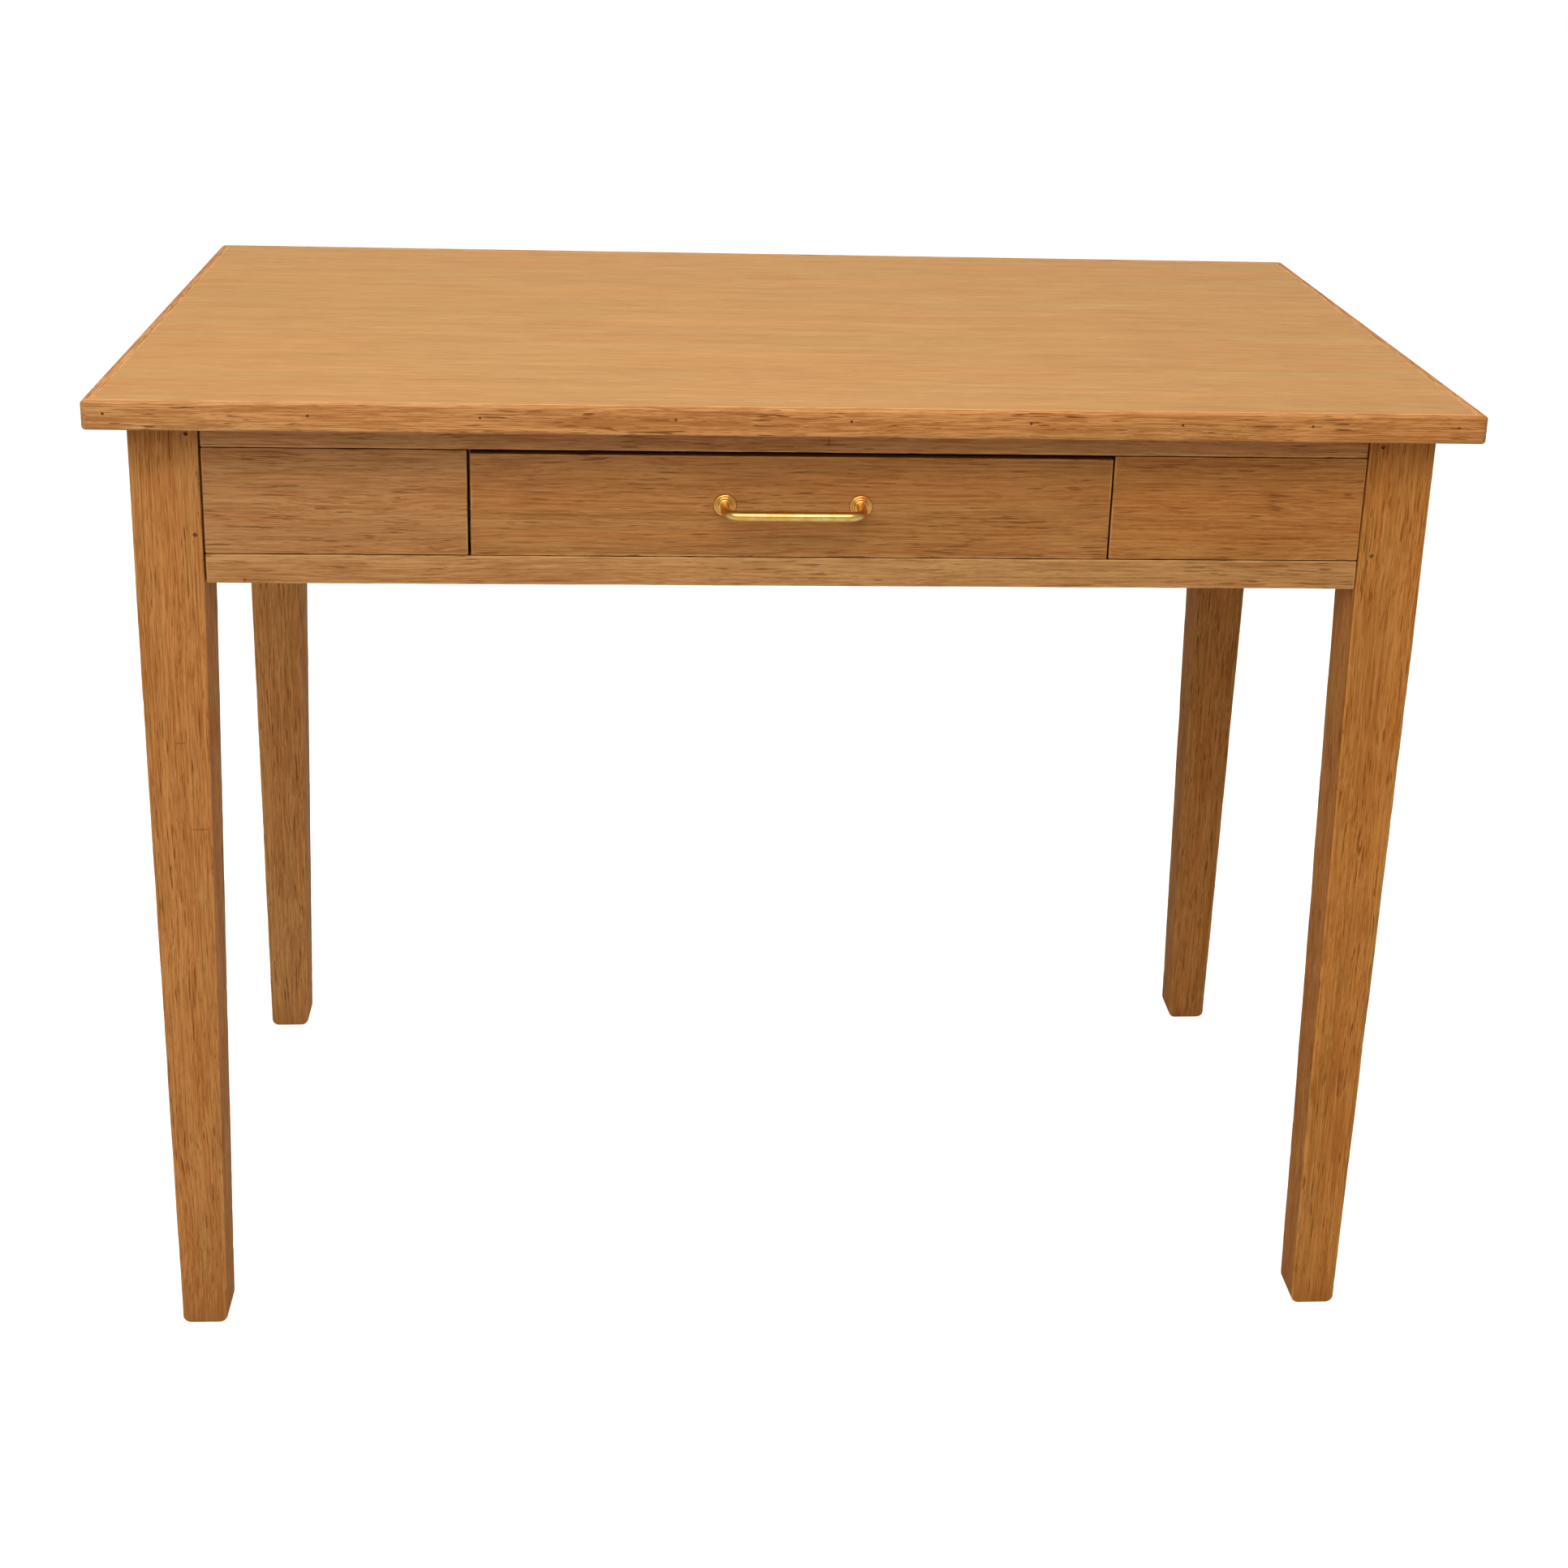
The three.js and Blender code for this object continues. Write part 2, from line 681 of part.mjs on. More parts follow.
const backHalfWidth = sideInnerX + DRAWER.housingDepth - GAP;
const backBoard = {
  x: [-backHalfWidth, backHalfWidth],
  y: backY,
  z: [bottomZ[1] + GAP, DRAWER.sideTop - DRAWER.backDrop],
};
addDrawerPart("drawer_back", boxGeometry(backBoard), wood(COLOURS.innerWood));

const bottomBoard = {
  x: [bottomGroove.x[0] + GAP, bottomGroove.x[1] - GAP],
  y: [bottomGroove.y[0] + GAP, DRAWER.rear - GAP],
  z: bottomZ,
};
addDrawerPart("drawer_bottom", boxGeometry(bottomBoard), wood(COLOURS.plywood));

// ---------------------------------------------------------------- handle

// Out from one fixing, round a bend, along in front of the drawer, and back in.
class HandleCurve extends THREE.Curve {
  getPoint(t, target = new THREE.Vector3()) {
    const { bendRadius, projection, centres } = HANDLE;
    const post = projection - bendRadius - GAP;
    const bend = (Math.PI / 2) * bendRadius;
    const halfBar = centres / 2 - bendRadius;
    const along = t * 2 * (post + bend + halfBar);
    const fromEnd = Math.min(along, 2 * (post + bend + halfBar) - along);
    const sign = along === fromEnd ? -1 : 1;
    const angle = THREE.MathUtils.clamp((fromEnd - post) / bendRadius, 0, Math.PI / 2);
    const out = GAP + Math.min(fromEnd, post) + bendRadius * Math.sin(angle);
    const inwards = bendRadius * (1 - Math.cos(angle)) + Math.max(0, fromEnd - post - bend);
    return target.set(sign * (centres / 2 - inwards), frontFace - out, HANDLE.height);
  }
}

const barSection = new THREE.Shape().absarc(0, 0, HANDLE.barRadius, 0, 2 * Math.PI);
const barGeometry = new THREE.ExtrudeGeometry(barSection, {
  steps: 56,
  curveSegments: 7,
  extrudePath: new HandleCurve(),
});
const barHoleEnd = frontFace - HANDLE_SCREW.depthInHandle - CUT_THROUGH;
const barHoles = handleEnds.map((x) => handleHole(x, frontFace, barHoleEnd));
addDrawerPart("handle_bar", carve(barGeometry, [], barHoles), metal(COLOURS.brass, 0.3));

// Profiles are [radius, distance out from the drawer front], turned about an axis along Y.
function turned(profile, x, sides) {
  const points = profile.map(([radius, out]) => new THREE.Vector2(radius, -out));
  return new THREE.LatheGeometry(points, sides).translate(x, frontFace, HANDLE.height);
}

function rosetteProfile() {
  const inner = HANDLE.barRadius + GAP;
  const outer = HANDLE.rosetteRadius;
  const height = HANDLE.rosetteThickness;
  return [
    [inner, height],
    [inner + 1.2, height],
    [inner + 1.8, 0.5 * height],
    [outer - 1.9, 0.4 * height],
    [outer - 1.5, 0.65 * height],
    [outer - 0.4, 0.65 * height],
    [outer, 0.5 * height],
    [outer, GAP],
    [inner, GAP],
    [inner, height],
  ];
}

function handleScrewProfile() {
  const { headRadius, headHeight, shankRadius, depthInHandle } = HANDLE_SCREW;
  const seat = -DRAWER.frontThickness - GAP;
  return [
    [0, depthInHandle],
    [shankRadius, depthInHandle],
    [shankRadius, seat],
    [headRadius, seat],
    [headRadius, seat - 0.7 * headHeight],
    [0.6 * headRadius, seat - headHeight],
    [0, seat - headHeight],
  ];
}

["left", "right"].forEach((name, i) => {
  const rosette = turned(rosetteProfile(), handleEnds[i], ROSETTE_SIDES);
  addDrawerPart(`handle_rosette_${name}`, rosette, metal(COLOURS.brass, 0.3));
  const screw = turned(handleScrewProfile(), handleEnds[i], HANDLE_SCREW.sides);
  addDrawerPart(`handle_screw_${name}`, screw, metal(COLOURS.steel, 0.4));
});

export default desk;
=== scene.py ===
"""Looks of an oak writing desk with one drawer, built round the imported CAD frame.

Every wooden piece that shows starts from its CAD solid, keeps its joints, and gets eased and
worn arrises. The oak is one solid texture in millimetres: growth rings round a pith, fibre
streaks and pores, laid along each piece's own grain. Metres, +Z up, front towards -Y.
"""

import json
import math

import bmesh
import bpy
import numpy as np
from mathutils import Matrix, Vector, noise

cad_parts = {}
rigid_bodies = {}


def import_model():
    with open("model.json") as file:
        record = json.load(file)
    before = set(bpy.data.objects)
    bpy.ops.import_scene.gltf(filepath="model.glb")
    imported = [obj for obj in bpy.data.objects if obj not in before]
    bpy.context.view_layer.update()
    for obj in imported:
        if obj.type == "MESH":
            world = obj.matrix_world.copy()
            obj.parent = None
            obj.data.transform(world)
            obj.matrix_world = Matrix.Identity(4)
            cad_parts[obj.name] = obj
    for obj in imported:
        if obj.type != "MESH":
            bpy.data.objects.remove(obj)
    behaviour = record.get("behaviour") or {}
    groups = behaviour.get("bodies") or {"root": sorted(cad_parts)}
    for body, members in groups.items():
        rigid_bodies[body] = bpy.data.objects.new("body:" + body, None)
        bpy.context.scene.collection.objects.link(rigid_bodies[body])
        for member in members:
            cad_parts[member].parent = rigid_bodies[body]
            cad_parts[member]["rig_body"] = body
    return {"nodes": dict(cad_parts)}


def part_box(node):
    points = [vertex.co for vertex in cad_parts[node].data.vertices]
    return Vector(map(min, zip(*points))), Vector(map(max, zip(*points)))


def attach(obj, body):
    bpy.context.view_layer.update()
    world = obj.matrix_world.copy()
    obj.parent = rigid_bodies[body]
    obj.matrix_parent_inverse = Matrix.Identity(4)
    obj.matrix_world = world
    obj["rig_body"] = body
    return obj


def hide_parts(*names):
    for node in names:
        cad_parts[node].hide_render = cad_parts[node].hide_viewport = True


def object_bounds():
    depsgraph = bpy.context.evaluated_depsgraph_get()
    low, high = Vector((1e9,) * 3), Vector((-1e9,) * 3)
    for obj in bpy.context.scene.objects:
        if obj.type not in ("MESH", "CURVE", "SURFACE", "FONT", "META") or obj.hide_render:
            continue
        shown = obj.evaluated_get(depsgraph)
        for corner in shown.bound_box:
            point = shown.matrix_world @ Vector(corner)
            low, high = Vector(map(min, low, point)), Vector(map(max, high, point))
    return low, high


MM = 0.001

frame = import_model()
cad_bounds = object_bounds()
nodes = frame["nodes"]

SIDES = ("left", "right")
TOP_LOW, TOP_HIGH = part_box("top_panel")
DESK_LOW, DESK_HIGH = cad_bounds
DRAWER_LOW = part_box("drawer_front")[0]
WHITE = (1.0, 1.0, 1.0, 1.0)


# ------------------------------------------------------------------ colours and node helpers


def srgb(red, green, blue):
    """Scene-linear colour of an sRGB colour given as 0 to 255."""

    def linear(value):
        share = value / 255
        if share <= 0.04045:
            return share / 12.92
        return ((share + 0.055) / 1.055) ** 2.4

    return (linear(red), linear(green), linear(blue), 1.0)


class Shader:
    """A material's node tree, with short calls for the nodes that the materials use."""

    def __init__(self, name):
        self.material = bpy.data.materials.new(name)
        self.material.use_nodes = True
        self.tree = self.material.node_tree
        self.tree.nodes.clear()
        self.bsdf = self.node("ShaderNodeBsdfPrincipled")
        output = self.node("ShaderNodeOutputMaterial")
        self.link(self.bsdf.outputs["BSDF"], output.inputs["Surface"])

    def node(self, kind):
        return self.tree.nodes.new(kind)

    def link(self, source, target):
        self.tree.links.new(source, target)

    def feed(self, socket, value):
        """Sets an input to a plain value, or links it if the value is another node's output."""
        if isinstance(value, bpy.types.NodeSocket):
            self.link(value, socket)
        else:
            socket.default_value = value

    def math(self, operation, first, second=0.0, third=0.0):
        node = self.node("ShaderNodeMath")
        node.operation = operation
        for socket, value in zip(node.inputs, (first, second, third)):
            self.feed(socket, value)
        return node.outputs[0]

    def mix(self, share, first, second, blend="MIX"):
        """One colour turning into another, by a share from 0 to 1."""
        node = self.node("ShaderNodeMix")
        node.data_type = "RGBA"
        node.blend_type = blend
        self.feed(node.inputs["Factor"], share)
        self.feed(node.inputs[6], first)
        self.feed(node.inputs[7], second)
        return node.outputs[2]

    def tint(self, tone, cast):
        """A tone with its channels multiplied by a cast's."""
        return self.mix(1.0, tone, cast, "MULTIPLY")

    def ramp(self, value, low, high):
        """0 below low, 1 above high, smooth between them."""
        node = self.node("ShaderNodeMapRange")
        node.interpolation_type = "SMOOTHSTEP"
        self.feed(node.inputs["Value"], value)
        self.feed(node.inputs["From Min"], low)
        self.feed(node.inputs["From Max"], high)
        return node.outputs["Result"]

    def noise(self, vector, detail=2.0, roughness=0.5):
        node = self.node("ShaderNodeTexNoise")
        node.inputs["Scale"].default_value = 1.0
        node.inputs["Detail"].default_value = detail
        node.inputs["Roughness"].default_value = roughness
        self.link(vector, node.inputs["Vector"])
        return node.outputs["Fac"]

    def even_noise(self, size):
        """Noise of one size in every direction, in millimetres."""
        scaled = [self.math("DIVIDE", place, size) for place in self.coordinates()]
        return self.noise(self.vector(*scaled), 3.0)

    def vector(self, x, y, z):
        node = self.node("ShaderNodeCombineXYZ")
        for socket, value in zip(node.inputs, (x, y, z)):
            self.feed(socket, value)
        return node.outputs[0]

    def bump(self, height, strength, distance):
        node = self.node("ShaderNodeBump")
        node.inputs["Strength"].default_value = strength
        node.inputs["Distance"].default_value = distance
        self.link(height, node.inputs["Height"])
        self.link(node.outputs["Normal"], self.bsdf.inputs["Normal"])

    def coordinates(self):
        """The place at rest in the desk's own frame: x, y and z in millimetres."""
        place = self.node("ShaderNodeTexCoord").outputs["Object"]
        split = self.node("ShaderNodeSeparateXYZ")
        self.link(place, split.inputs[0])
        return [self.math("DIVIDE", output, MM) for output in split.outputs]

    def attribute(self, name):
        """A value kept in the mesh: one mask is 1 on a worn arris, painted pale as wear and as a
        painted highlight; another is 1 inside a joint, painted dark as dirt and as painted
        shade.
        """
        node = self.node("ShaderNodeAttribute")
        node.attribute_name = name
        return node.outputs["Fac"]


# ------------------------------------------------------------------ oak

AXES = {"x": (0, 1, 2), "y": (1, 0, 2), "z": (2, 0, 1)}  # along the grain, then across it

# Length along the grain and width across it, mm, with its share in the light and dark.
STREAKS = (
    (420.0, 16.0, 0.25),
    (150.0, 3.0, 0.35),
    (70.0, 1.3, 0.6),
    (30.0, 0.65, 0.7),
    (12.0, 0.35, 0.45),
    (80.0, 26.0, 0.25),
)

# Noise layers: length along the grain and width across it, mm, and a shift that parts them.
WANDER = (340.0, 70.0, 0.0)
WAVE = (170.0, 45.0, 7.0)
FINE_PORES = (14.0, 0.5, 5.0)
DARK_DASHES = (24.0, 1.35, 9.0)
DASH_PATCHES = (70.0, 14.0, 21.0)
PALE_FLECKS = (34.0, 0.9, 27.0)
RUB_AND_HIGHLIGHT_PATCHES = (24.0, 24.0, 31.0)
FOOT_DARKENING = (30.0, 12.0, 33.0)
COLOUR_CAST = (320.0, 16.0, 41.0)
FIRST_STREAK_SHIFT = 11.0
STREAK_SHIFT_STEP = 6.0
SEASON_LENGTH = 260.0  # how far along the grain a ring stays strong or faint, mm
SEED_SHIFT = 371.0  # how far apart along the grain two pieces' textures start, mm
SEED_DRIFT = 5.3  # and how far apart across it

RING_SHARE = 0.2  # how much darker early wood is
RING_WARP = 5.0  # how far the rings wander, mm
FIBRE_WARP = 5.0  # how far the fibres wander, mm
VALUE_LIMITS = (-0.25, 1.3)  # of the light and dark together

# Where a noise, or a share of a year's ring, starts to count and where it counts in full.
STRONG_YEARS = (0.35, 0.65)
EARLY_END = (0.1, 0.7)
EARLY_START = (0.0, 0.15)
PATCH_EDGE = (0.4, 0.62)
FLECK_EDGE = (0.63, 0.74)
CAST_EDGE = (0.36, 0.64)
ARRIS_EDGE = (0.25, 0.9)
RUB_AND_HIGHLIGHT_EDGE = (0.36, 0.6)

# A pore or dash is where its noise passes its gate, which is lower in early wood and patches.
PORE_GATE = 0.66
PORE_EARLY = -0.08
PORE_EDGE = 0.07
DASH_GATE = 0.7
DASH_EARLY = -0.03
DASH_PATCH = -0.1
DASH_EDGE = 0.08

# Colours as shares of the piece's mean colour.
LIGHT_SHARE = (1.22, 1.33, 1.45)
DARK_SHARE = (0.78, 0.68, 0.58)
PORE_SHARE = (0.42, 0.32, 0.24)
# Pale worn arrises, which are also a painted highlight.
WORN_AND_HIGHLIGHT_SHARE = (1.55, 1.75, 2.0)
# Dirt, and painted shade in the gaps between the front pieces.
DIRT_AND_SHADE_SHARE = (0.2, 0.13, 0.1)
RED_SHARE = (1.02, 0.982, 0.96)
OLIVE_SHARE = (0.98, 1.018, 1.04)
SHEEN_TINT = (1.0, 0.78, 0.55, 1.0)

# How strongly the arrises are painted pale, as wear and as a painted highlight.
WORN_AND_HIGHLIGHT_STRENGTH = 0.75
MARK_STRENGTH = 0.7
MARK_CORE = 0.6  # the fully dark share of a mark
MARK_BLUR = 0.3  # mm past its edge
LIGHT_FALLOFF_REACH = 430.0  # from the middle of the front to where the painted light falloff stops, mm
FOOT_DARKENING_HEIGHT = (2.0, 34.0)  # full darkening, and none, mm above the floor
FOOT_DARKENING_UNEVENNESS = 60.0  # mm
FOOT_DARKENING_STRENGTH = 0.45
BUMP_DEPTH = 0.12 * MM


def opaque(channels):
    return tuple(channels) + (1.0,)


class Oak:
    """One piece's oak: its mean colour, how the board lay in the log, and its pores."""

    def __init__(self, colour, grain, seed, **options):
        self.colour = srgb(*colour)
        self.grain = grain
        self.seed = seed
        self.pith = options["pith"]  # where it ran, in the desk's frame, across the grain, mm
        self.ring = options.get("ring", 3.0)  # width of a year's growth, mm
        self.contrast = options.get("contrast", 0.62)
        self.pores = options.get("pores", 0.55)
        self.dashes = options.get("dashes", 0.6)
        self.flecks = options.get("flecks", 0.4)
        self.roughness = options.get("roughness", (0.42, 0.6))
        self.specular = options.get("specular", 0.14)
        self.grimy_foot = options.get("grimy_foot", False)
        # How dark the joints are painted, as dirt and as painted shade.
        self.grime = options.get("grime", 1.0)
        self.fade = options.get("fade")  # shares of the colour at the left and right ends, a painted light falloff
        self.marks = options.get("marks", ())  # scratches: middle x and z, half width and height

    def shade(self, share):
        return opaque(c * s for c, s in zip(self.colour, share))


class OakShader(Shader):
    """One piece's oak, made of nodes."""

    def __init__(self, name, oak):
        super().__init__(name)
        self.oak = oak
        self.place = self.coordinates()
        along, self.across, self.through = (self.place[axis] for axis in AXES[oak.grain])
        self.along = self.math("ADD", along, SEED_SHIFT * oak.seed)
        self.drift = SEED_DRIFT * oak.seed

    def stretched(self, length, width, shift):
        """The place, scaled so that a feature is length mm along the grain and width across."""
        return self.vector(
            self.math("DIVIDE", self.along, length),
            self.math("MULTIPLY_ADD", self.across, 1 / width, self.drift + shift),
            self.math("MULTIPLY_ADD", self.through, 1 / width, shift),
        )

    def layer(self, sizes, detail=2.0, roughness=0.5):
        return self.noise(self.stretched(*sizes), detail, roughness)

    def centred_layer(self, sizes, detail=2.0, roughness=0.5):
        """A layer that runs from -0.5 to 0.5."""
        return self.math("SUBTRACT", self.layer(sizes, detail, roughness), 0.5)

    def ring_radius(self, wave):
        """How far each point was from the log's pith, mm, on rings that wander a little."""
        wander = self.centred_layer(WANDER)
        offset_across = self.math("SUBTRACT", self.across, self.oak.pith[0])
        offset_through = self.math("SUBTRACT", self.through, self.oak.pith[1])
        squares = self.math(
            "ADD",
            self.math("MULTIPLY", offset_across, offset_across),
            self.math("MULTIPLY", offset_through, offset_through),
        )
        radius = self.math("MULTIPLY_ADD", wander, 2 * RING_WARP, self.math("SQRT", squares))
        return self.math("ADD", radius, wave)

    def early_wood(self, radius):
        """1 at the porous start of a strong year's ring, 0 in its late wood."""
        years = self.math("DIVIDE", radius, self.oak.ring)
        year = self.math("FLOOR", years)
        within = self.math("FRACT", years)
        season = self.vector(year, self.math("DIVIDE", self.along, SEASON_LENGTH), self.drift)
        strength = self.ramp(self.noise(season, 1.0), *STRONG_YEARS)
        early = self.math("SUBTRACT", 1.0, self.ramp(within, *EARLY_END))
        early = self.math("MULTIPLY", early, self.ramp(within, *EARLY_START))
        return self.math("MULTIPLY", early, self.math("MULTIPLY_ADD", strength, 0.8, 0.2))

    def streaked(self, early):
        """0 in dark grain and 1 in light grain: the rings and every size of streak."""
        value = self.math("MULTIPLY_ADD", early, -RING_SHARE, 0.5 + 0.2 * RING_SHARE)
        for i, (length, width, share) in enumerate(STREAKS):
            shift = FIRST_STREAK_SHIFT + STREAK_SHIFT_STEP * i
            streak = self.centred_layer((length, width, shift), 3.0, 0.55)
            value = self.math("MULTIPLY_ADD", streak, 4 * self.oak.contrast * share, value)
        low, high = VALUE_LIMITS
        return self.math("MINIMUM", self.math("MAXIMUM", value, low), high)

    def fine_pores(self, early):
        gate = self.math("MULTIPLY_ADD", early, PORE_EARLY, PORE_GATE)
        return self.ramp(self.layer(FINE_PORES, 1.0), gate, self.math("ADD", gate, PORE_EDGE))

    def dark_dashes(self, early):
        """Long open pores, which gather in patches."""
        patch = self.ramp(self.layer(DASH_PATCHES), *PATCH_EDGE)
        gate = self.math("MULTIPLY_ADD", early, DASH_EARLY, DASH_GATE)
        gate = self.math("MULTIPLY_ADD", patch, DASH_PATCH, gate)
        return self.ramp(self.layer(DARK_DASHES, 1.0), gate, self.math("ADD", gate, DASH_EDGE))

    def grain_colour(self, value, pores, dashes):
        oak = self.oak
        light = oak.shade(LIGHT_SHARE)
        pore = oak.shade(PORE_SHARE)
        flecks = self.ramp(self.layer(PALE_FLECKS, 1.0), *FLECK_EDGE)
        tone = self.mix(value, oak.shade(DARK_SHARE), light)
        tone = self.mix(self.math("MULTIPLY", flecks, oak.flecks), tone, light)
        tone = self.mix(self.math("MULTIPLY", pores, oak.pores), tone, pore)
        return self.mix(self.math("MULTIPLY", dashes, oak.dashes), tone, pore)

    def cast_and_light_falloff_over(self, tone):
        """Turns some stretches redder and some greener, and paints a light falloff along the
        front, lighter at the left end and darker at the right.
        """
        hue = self.ramp(self.layer(COLOUR_CAST), *CAST_EDGE)
        tone = self.tint(tone, self.mix(hue, opaque(RED_SHARE), opaque(OLIVE_SHARE)))
        if self.oak.fade:
            left, right = self.oak.fade
            share = self.ramp(self.place[0], -LIGHT_FALLOFF_REACH, LIGHT_FALLOFF_REACH)
            tone = self.tint(tone, self.mix(share, opaque(left), opaque(right)))
        return tone

    def outside(self, place, middle, half):
        """0 in the core of a mark along one axis, 1 clear of it."""
        distance = self.math("ABSOLUTE", self.math("SUBTRACT", place, middle))
        return self.ramp(distance, MARK_CORE * half, half + MARK_BLUR)

    def mark_over(self, tone):
        for mark_x, mark_z, half_width, half_height in self.oak.marks:
            beside = self.outside(self.place[0], mark_x, half_width)
            above = self.outside(self.place[2], mark_z, half_height)
            clear = self.math("MAXIMUM", beside, above)
            dark = self.math("MULTIPLY_ADD", clear, -MARK_STRENGTH, MARK_STRENGTH)
            tone = self.mix(dark, tone, self.oak.shade(PORE_SHARE))
        return tone

    # Darker towards the floor, unevenly.
    def darken_foot_over(self, tone):
        uneven = self.centred_layer(FOOT_DARKENING)
        height = self.math("MULTIPLY_ADD", uneven, FOOT_DARKENING_UNEVENNESS, self.place[2])
        foot_darkening = self.math("SUBTRACT", 1.0, self.ramp(height, *FOOT_DARKENING_HEIGHT))
        share = self.math("MULTIPLY", foot_darkening, FOOT_DARKENING_STRENGTH)
        return self.mix(share, tone, self.oak.shade(DARK_SHARE))

    def wear_dirt_and_painted_light_over(self, tone):
        """Pale rubbed arrises, as wear and as a painted highlight, and dirt and painted shade in
        the joints.
        """
        on_arris = self.ramp(self.attribute("wear"), *ARRIS_EDGE)
        rubbed_and_lit = self.math("MULTIPLY", on_arris, self.ramp(self.layer(RUB_AND_HIGHLIGHT_PATCHES, 3.0), *RUB_AND_HIGHLIGHT_EDGE))
        share = self.math("MULTIPLY", rubbed_and_lit, WORN_AND_HIGHLIGHT_STRENGTH)
        tone = self.mix(share, tone, self.oak.shade(WORN_AND_HIGHLIGHT_SHARE))
        # Dirt and painted shade in the joints.
        joint_dirt_and_shade_amount = self.math("MULTIPLY", self.attribute("grime"), self.oak.grime)
        return self.tint(tone, self.mix(joint_dirt_and_shade_amount, WHITE, opaque(DIRT_AND_SHADE_SHARE)))

    def set_gloss(self, value, pores):
        smooth, rough = self.oak.roughness
        roughness = self.math("MULTIPLY_ADD", value, smooth - rough, rough)
        roughness = self.math("MULTIPLY_ADD", pores, 0.15, roughness)
        self.link(roughness, self.bsdf.inputs["Roughness"])
        self.bsdf.inputs["Specular IOR Level"].default_value = self.oak.specular
        self.bsdf.inputs["Specular Tint"].default_value = SHEEN_TINT


def oak_material(name, oak):
    shader = OakShader(name, oak)
    wave = shader.math("MULTIPLY", shader.centred_layer(WAVE), 2 * FIBRE_WARP)
    radius = shader.ring_radius(wave)
    shader.across = shader.math("ADD", shader.across, wave)
    shader.through = shader.math("ADD", shader.through, wave)

    early = shader.early_wood(radius)
    value = shader.streaked(early)
    pores = shader.fine_pores(early)
    dashes = shader.dark_dashes(early)
    tone = shader.cast_and_light_falloff_over(shader.grain_colour(value, pores, dashes))
    tone = shader.mark_over(tone)
    if oak.grimy_foot:
        tone = shader.darken_foot_over(tone)
    shader.link(shader.wear_dirt_and_painted_light_over(tone), shader.bsdf.inputs["Base Color"])
    shader.set_gloss(value, pores)

    height = shader.math("MULTIPLY_ADD", pores, -0.5, shader.math("MULTIPLY", value, 0.35))
    height = shader.math("MULTIPLY_ADD", dashes, -0.9, height)
    shader.bump(height, 0.5, BUMP_DEPTH)
    return shader.material


# ------------------------------------------------------------------ metal

BRASS = srgb(240, 202, 122)
HANDLED_BRASS = srgb(224, 170, 86)
STEEL = srgb(150, 150, 152)
NAIL = srgb(118, 72, 36)
HANDLING_SIZE = 11.0  # patches of dull and bright brass, mm
STAIN_SIZE = 1.8  # mm
STAIN_SHARE = 0.55
DULL_EDGE = (0.35, 0.7)


def brass_material():
    shader = Shader("satin_brass")
    handling = shader.even_noise(HANDLING_SIZE)
    tone = shader.mix(shader.ramp(handling, *DULL_EDGE), BRASS, HANDLED_BRASS)
    shader.link(tone, shader.bsdf.inputs["Base Color"])
    shader.bsdf.inputs["Metallic"].default_value = 1.0
    roughness = shader.math("MULTIPLY_ADD", handling, 0.14, 0.22)
    shader.link(roughness, shader.bsdf.inputs["Roughness"])
    return shader.material


def steel_material(name, colour, metallic, smooth):
    """Steel with dull stains, bare if metallic is 1 and rusty if it is 0."""
    shader = Shader(name)
    stain = shader.even_noise(STAIN_SIZE)
    dark = opaque(STAIN_SHARE * channel for channel in colour[:3])
    tone = shader.mix(shader.ramp(stain, *DULL_EDGE), colour, dark)
    shader.link(tone, shader.bsdf.inputs["Base Color"])
    shader.bsdf.inputs["Metallic"].default_value = metallic
    roughness = shader.math("MULTIPLY_ADD", stain, 0.25, smooth)
    shader.link(roughness, shader.bsdf.inputs["Roughness"])
    return shader.material


# ------------------------------------------------------------------ wooden pieces

MERGE_DISTANCE = 1e-6
FLAT_ANGLE = math.radians(0.5)
SHARP_ANGLE = math.radians(40)
BIG_FLAT_AREA = 3e-4  # square metres, as is the next
SMALL_FACE_AREA = 2e-5
SHORTEST_ROUNDED = 0.3 * MM
SHORTEST_EASED = 6 * MM
SHORTEST_EASED_BESIDE_ROUNDED = 1 * MM
BORDER_WIDTH = 2.6 * MM
EASED_SEGMENTS = 3

# Wear: how far it reaches from an arris, and how often it changes per metre.
WEAR_REACH = 2.4 * MM
SLOW_WEAR = 24.0
QUICK_WEAR = 110.0
CHIPS = 60.0
CHIP_GATE = 0.42
CHIP_DEPTH = 5.0


def middle(edge):
    return (edge.verts[0].co + edge.verts[1].co) / 2


def sharp_edges(bm, shortest):
    """A solid's convex, sharp edges that are long enough to be rounded or eased."""
    return [
        edge
        for edge in bm.edges
        if edge.is_manifold
        and edge.calc_length() > shortest
        and edge.calc_face_angle_signed(0.0) > SHARP_ANGLE
    ]


def cut_across(bm, point, normal):
    geometry = bm.verts[:] + bm.edges[:] + bm.faces[:]
    bmesh.ops.bisect_plane(
        bm, geom=geometry, dist=MERGE_DISTANCE, plane_co=point, plane_no=normal
    )


def add_border_loops(bm, width):
    """Cuts a line beside each big flat's edges, so that wear stays close to the arris."""
    flats = [
        (face.calc_center_median(), face.normal.copy())
        for face in bm.faces
        if face.calc_area() > BIG_FLAT_AREA
    ]
    for centre, normal in flats:
        cut_across(bm, centre - normal * width, normal)


def add_stations(bm, axis, step):
    """Cuts the piece every step along its grain, so that its arrises can vary along it."""
    index = "xyz".index(axis)
    places = [v.co[index] for v in bm.verts]
    low, high = min(places), max(places)
    count = int((high - low) / step)
    normal = Vector([1.0 if i == index else 0.0 for i in range(3)])
    for i in range(1, count):
        cut_across(bm, normal * (low + (high - low) * i / count), normal)


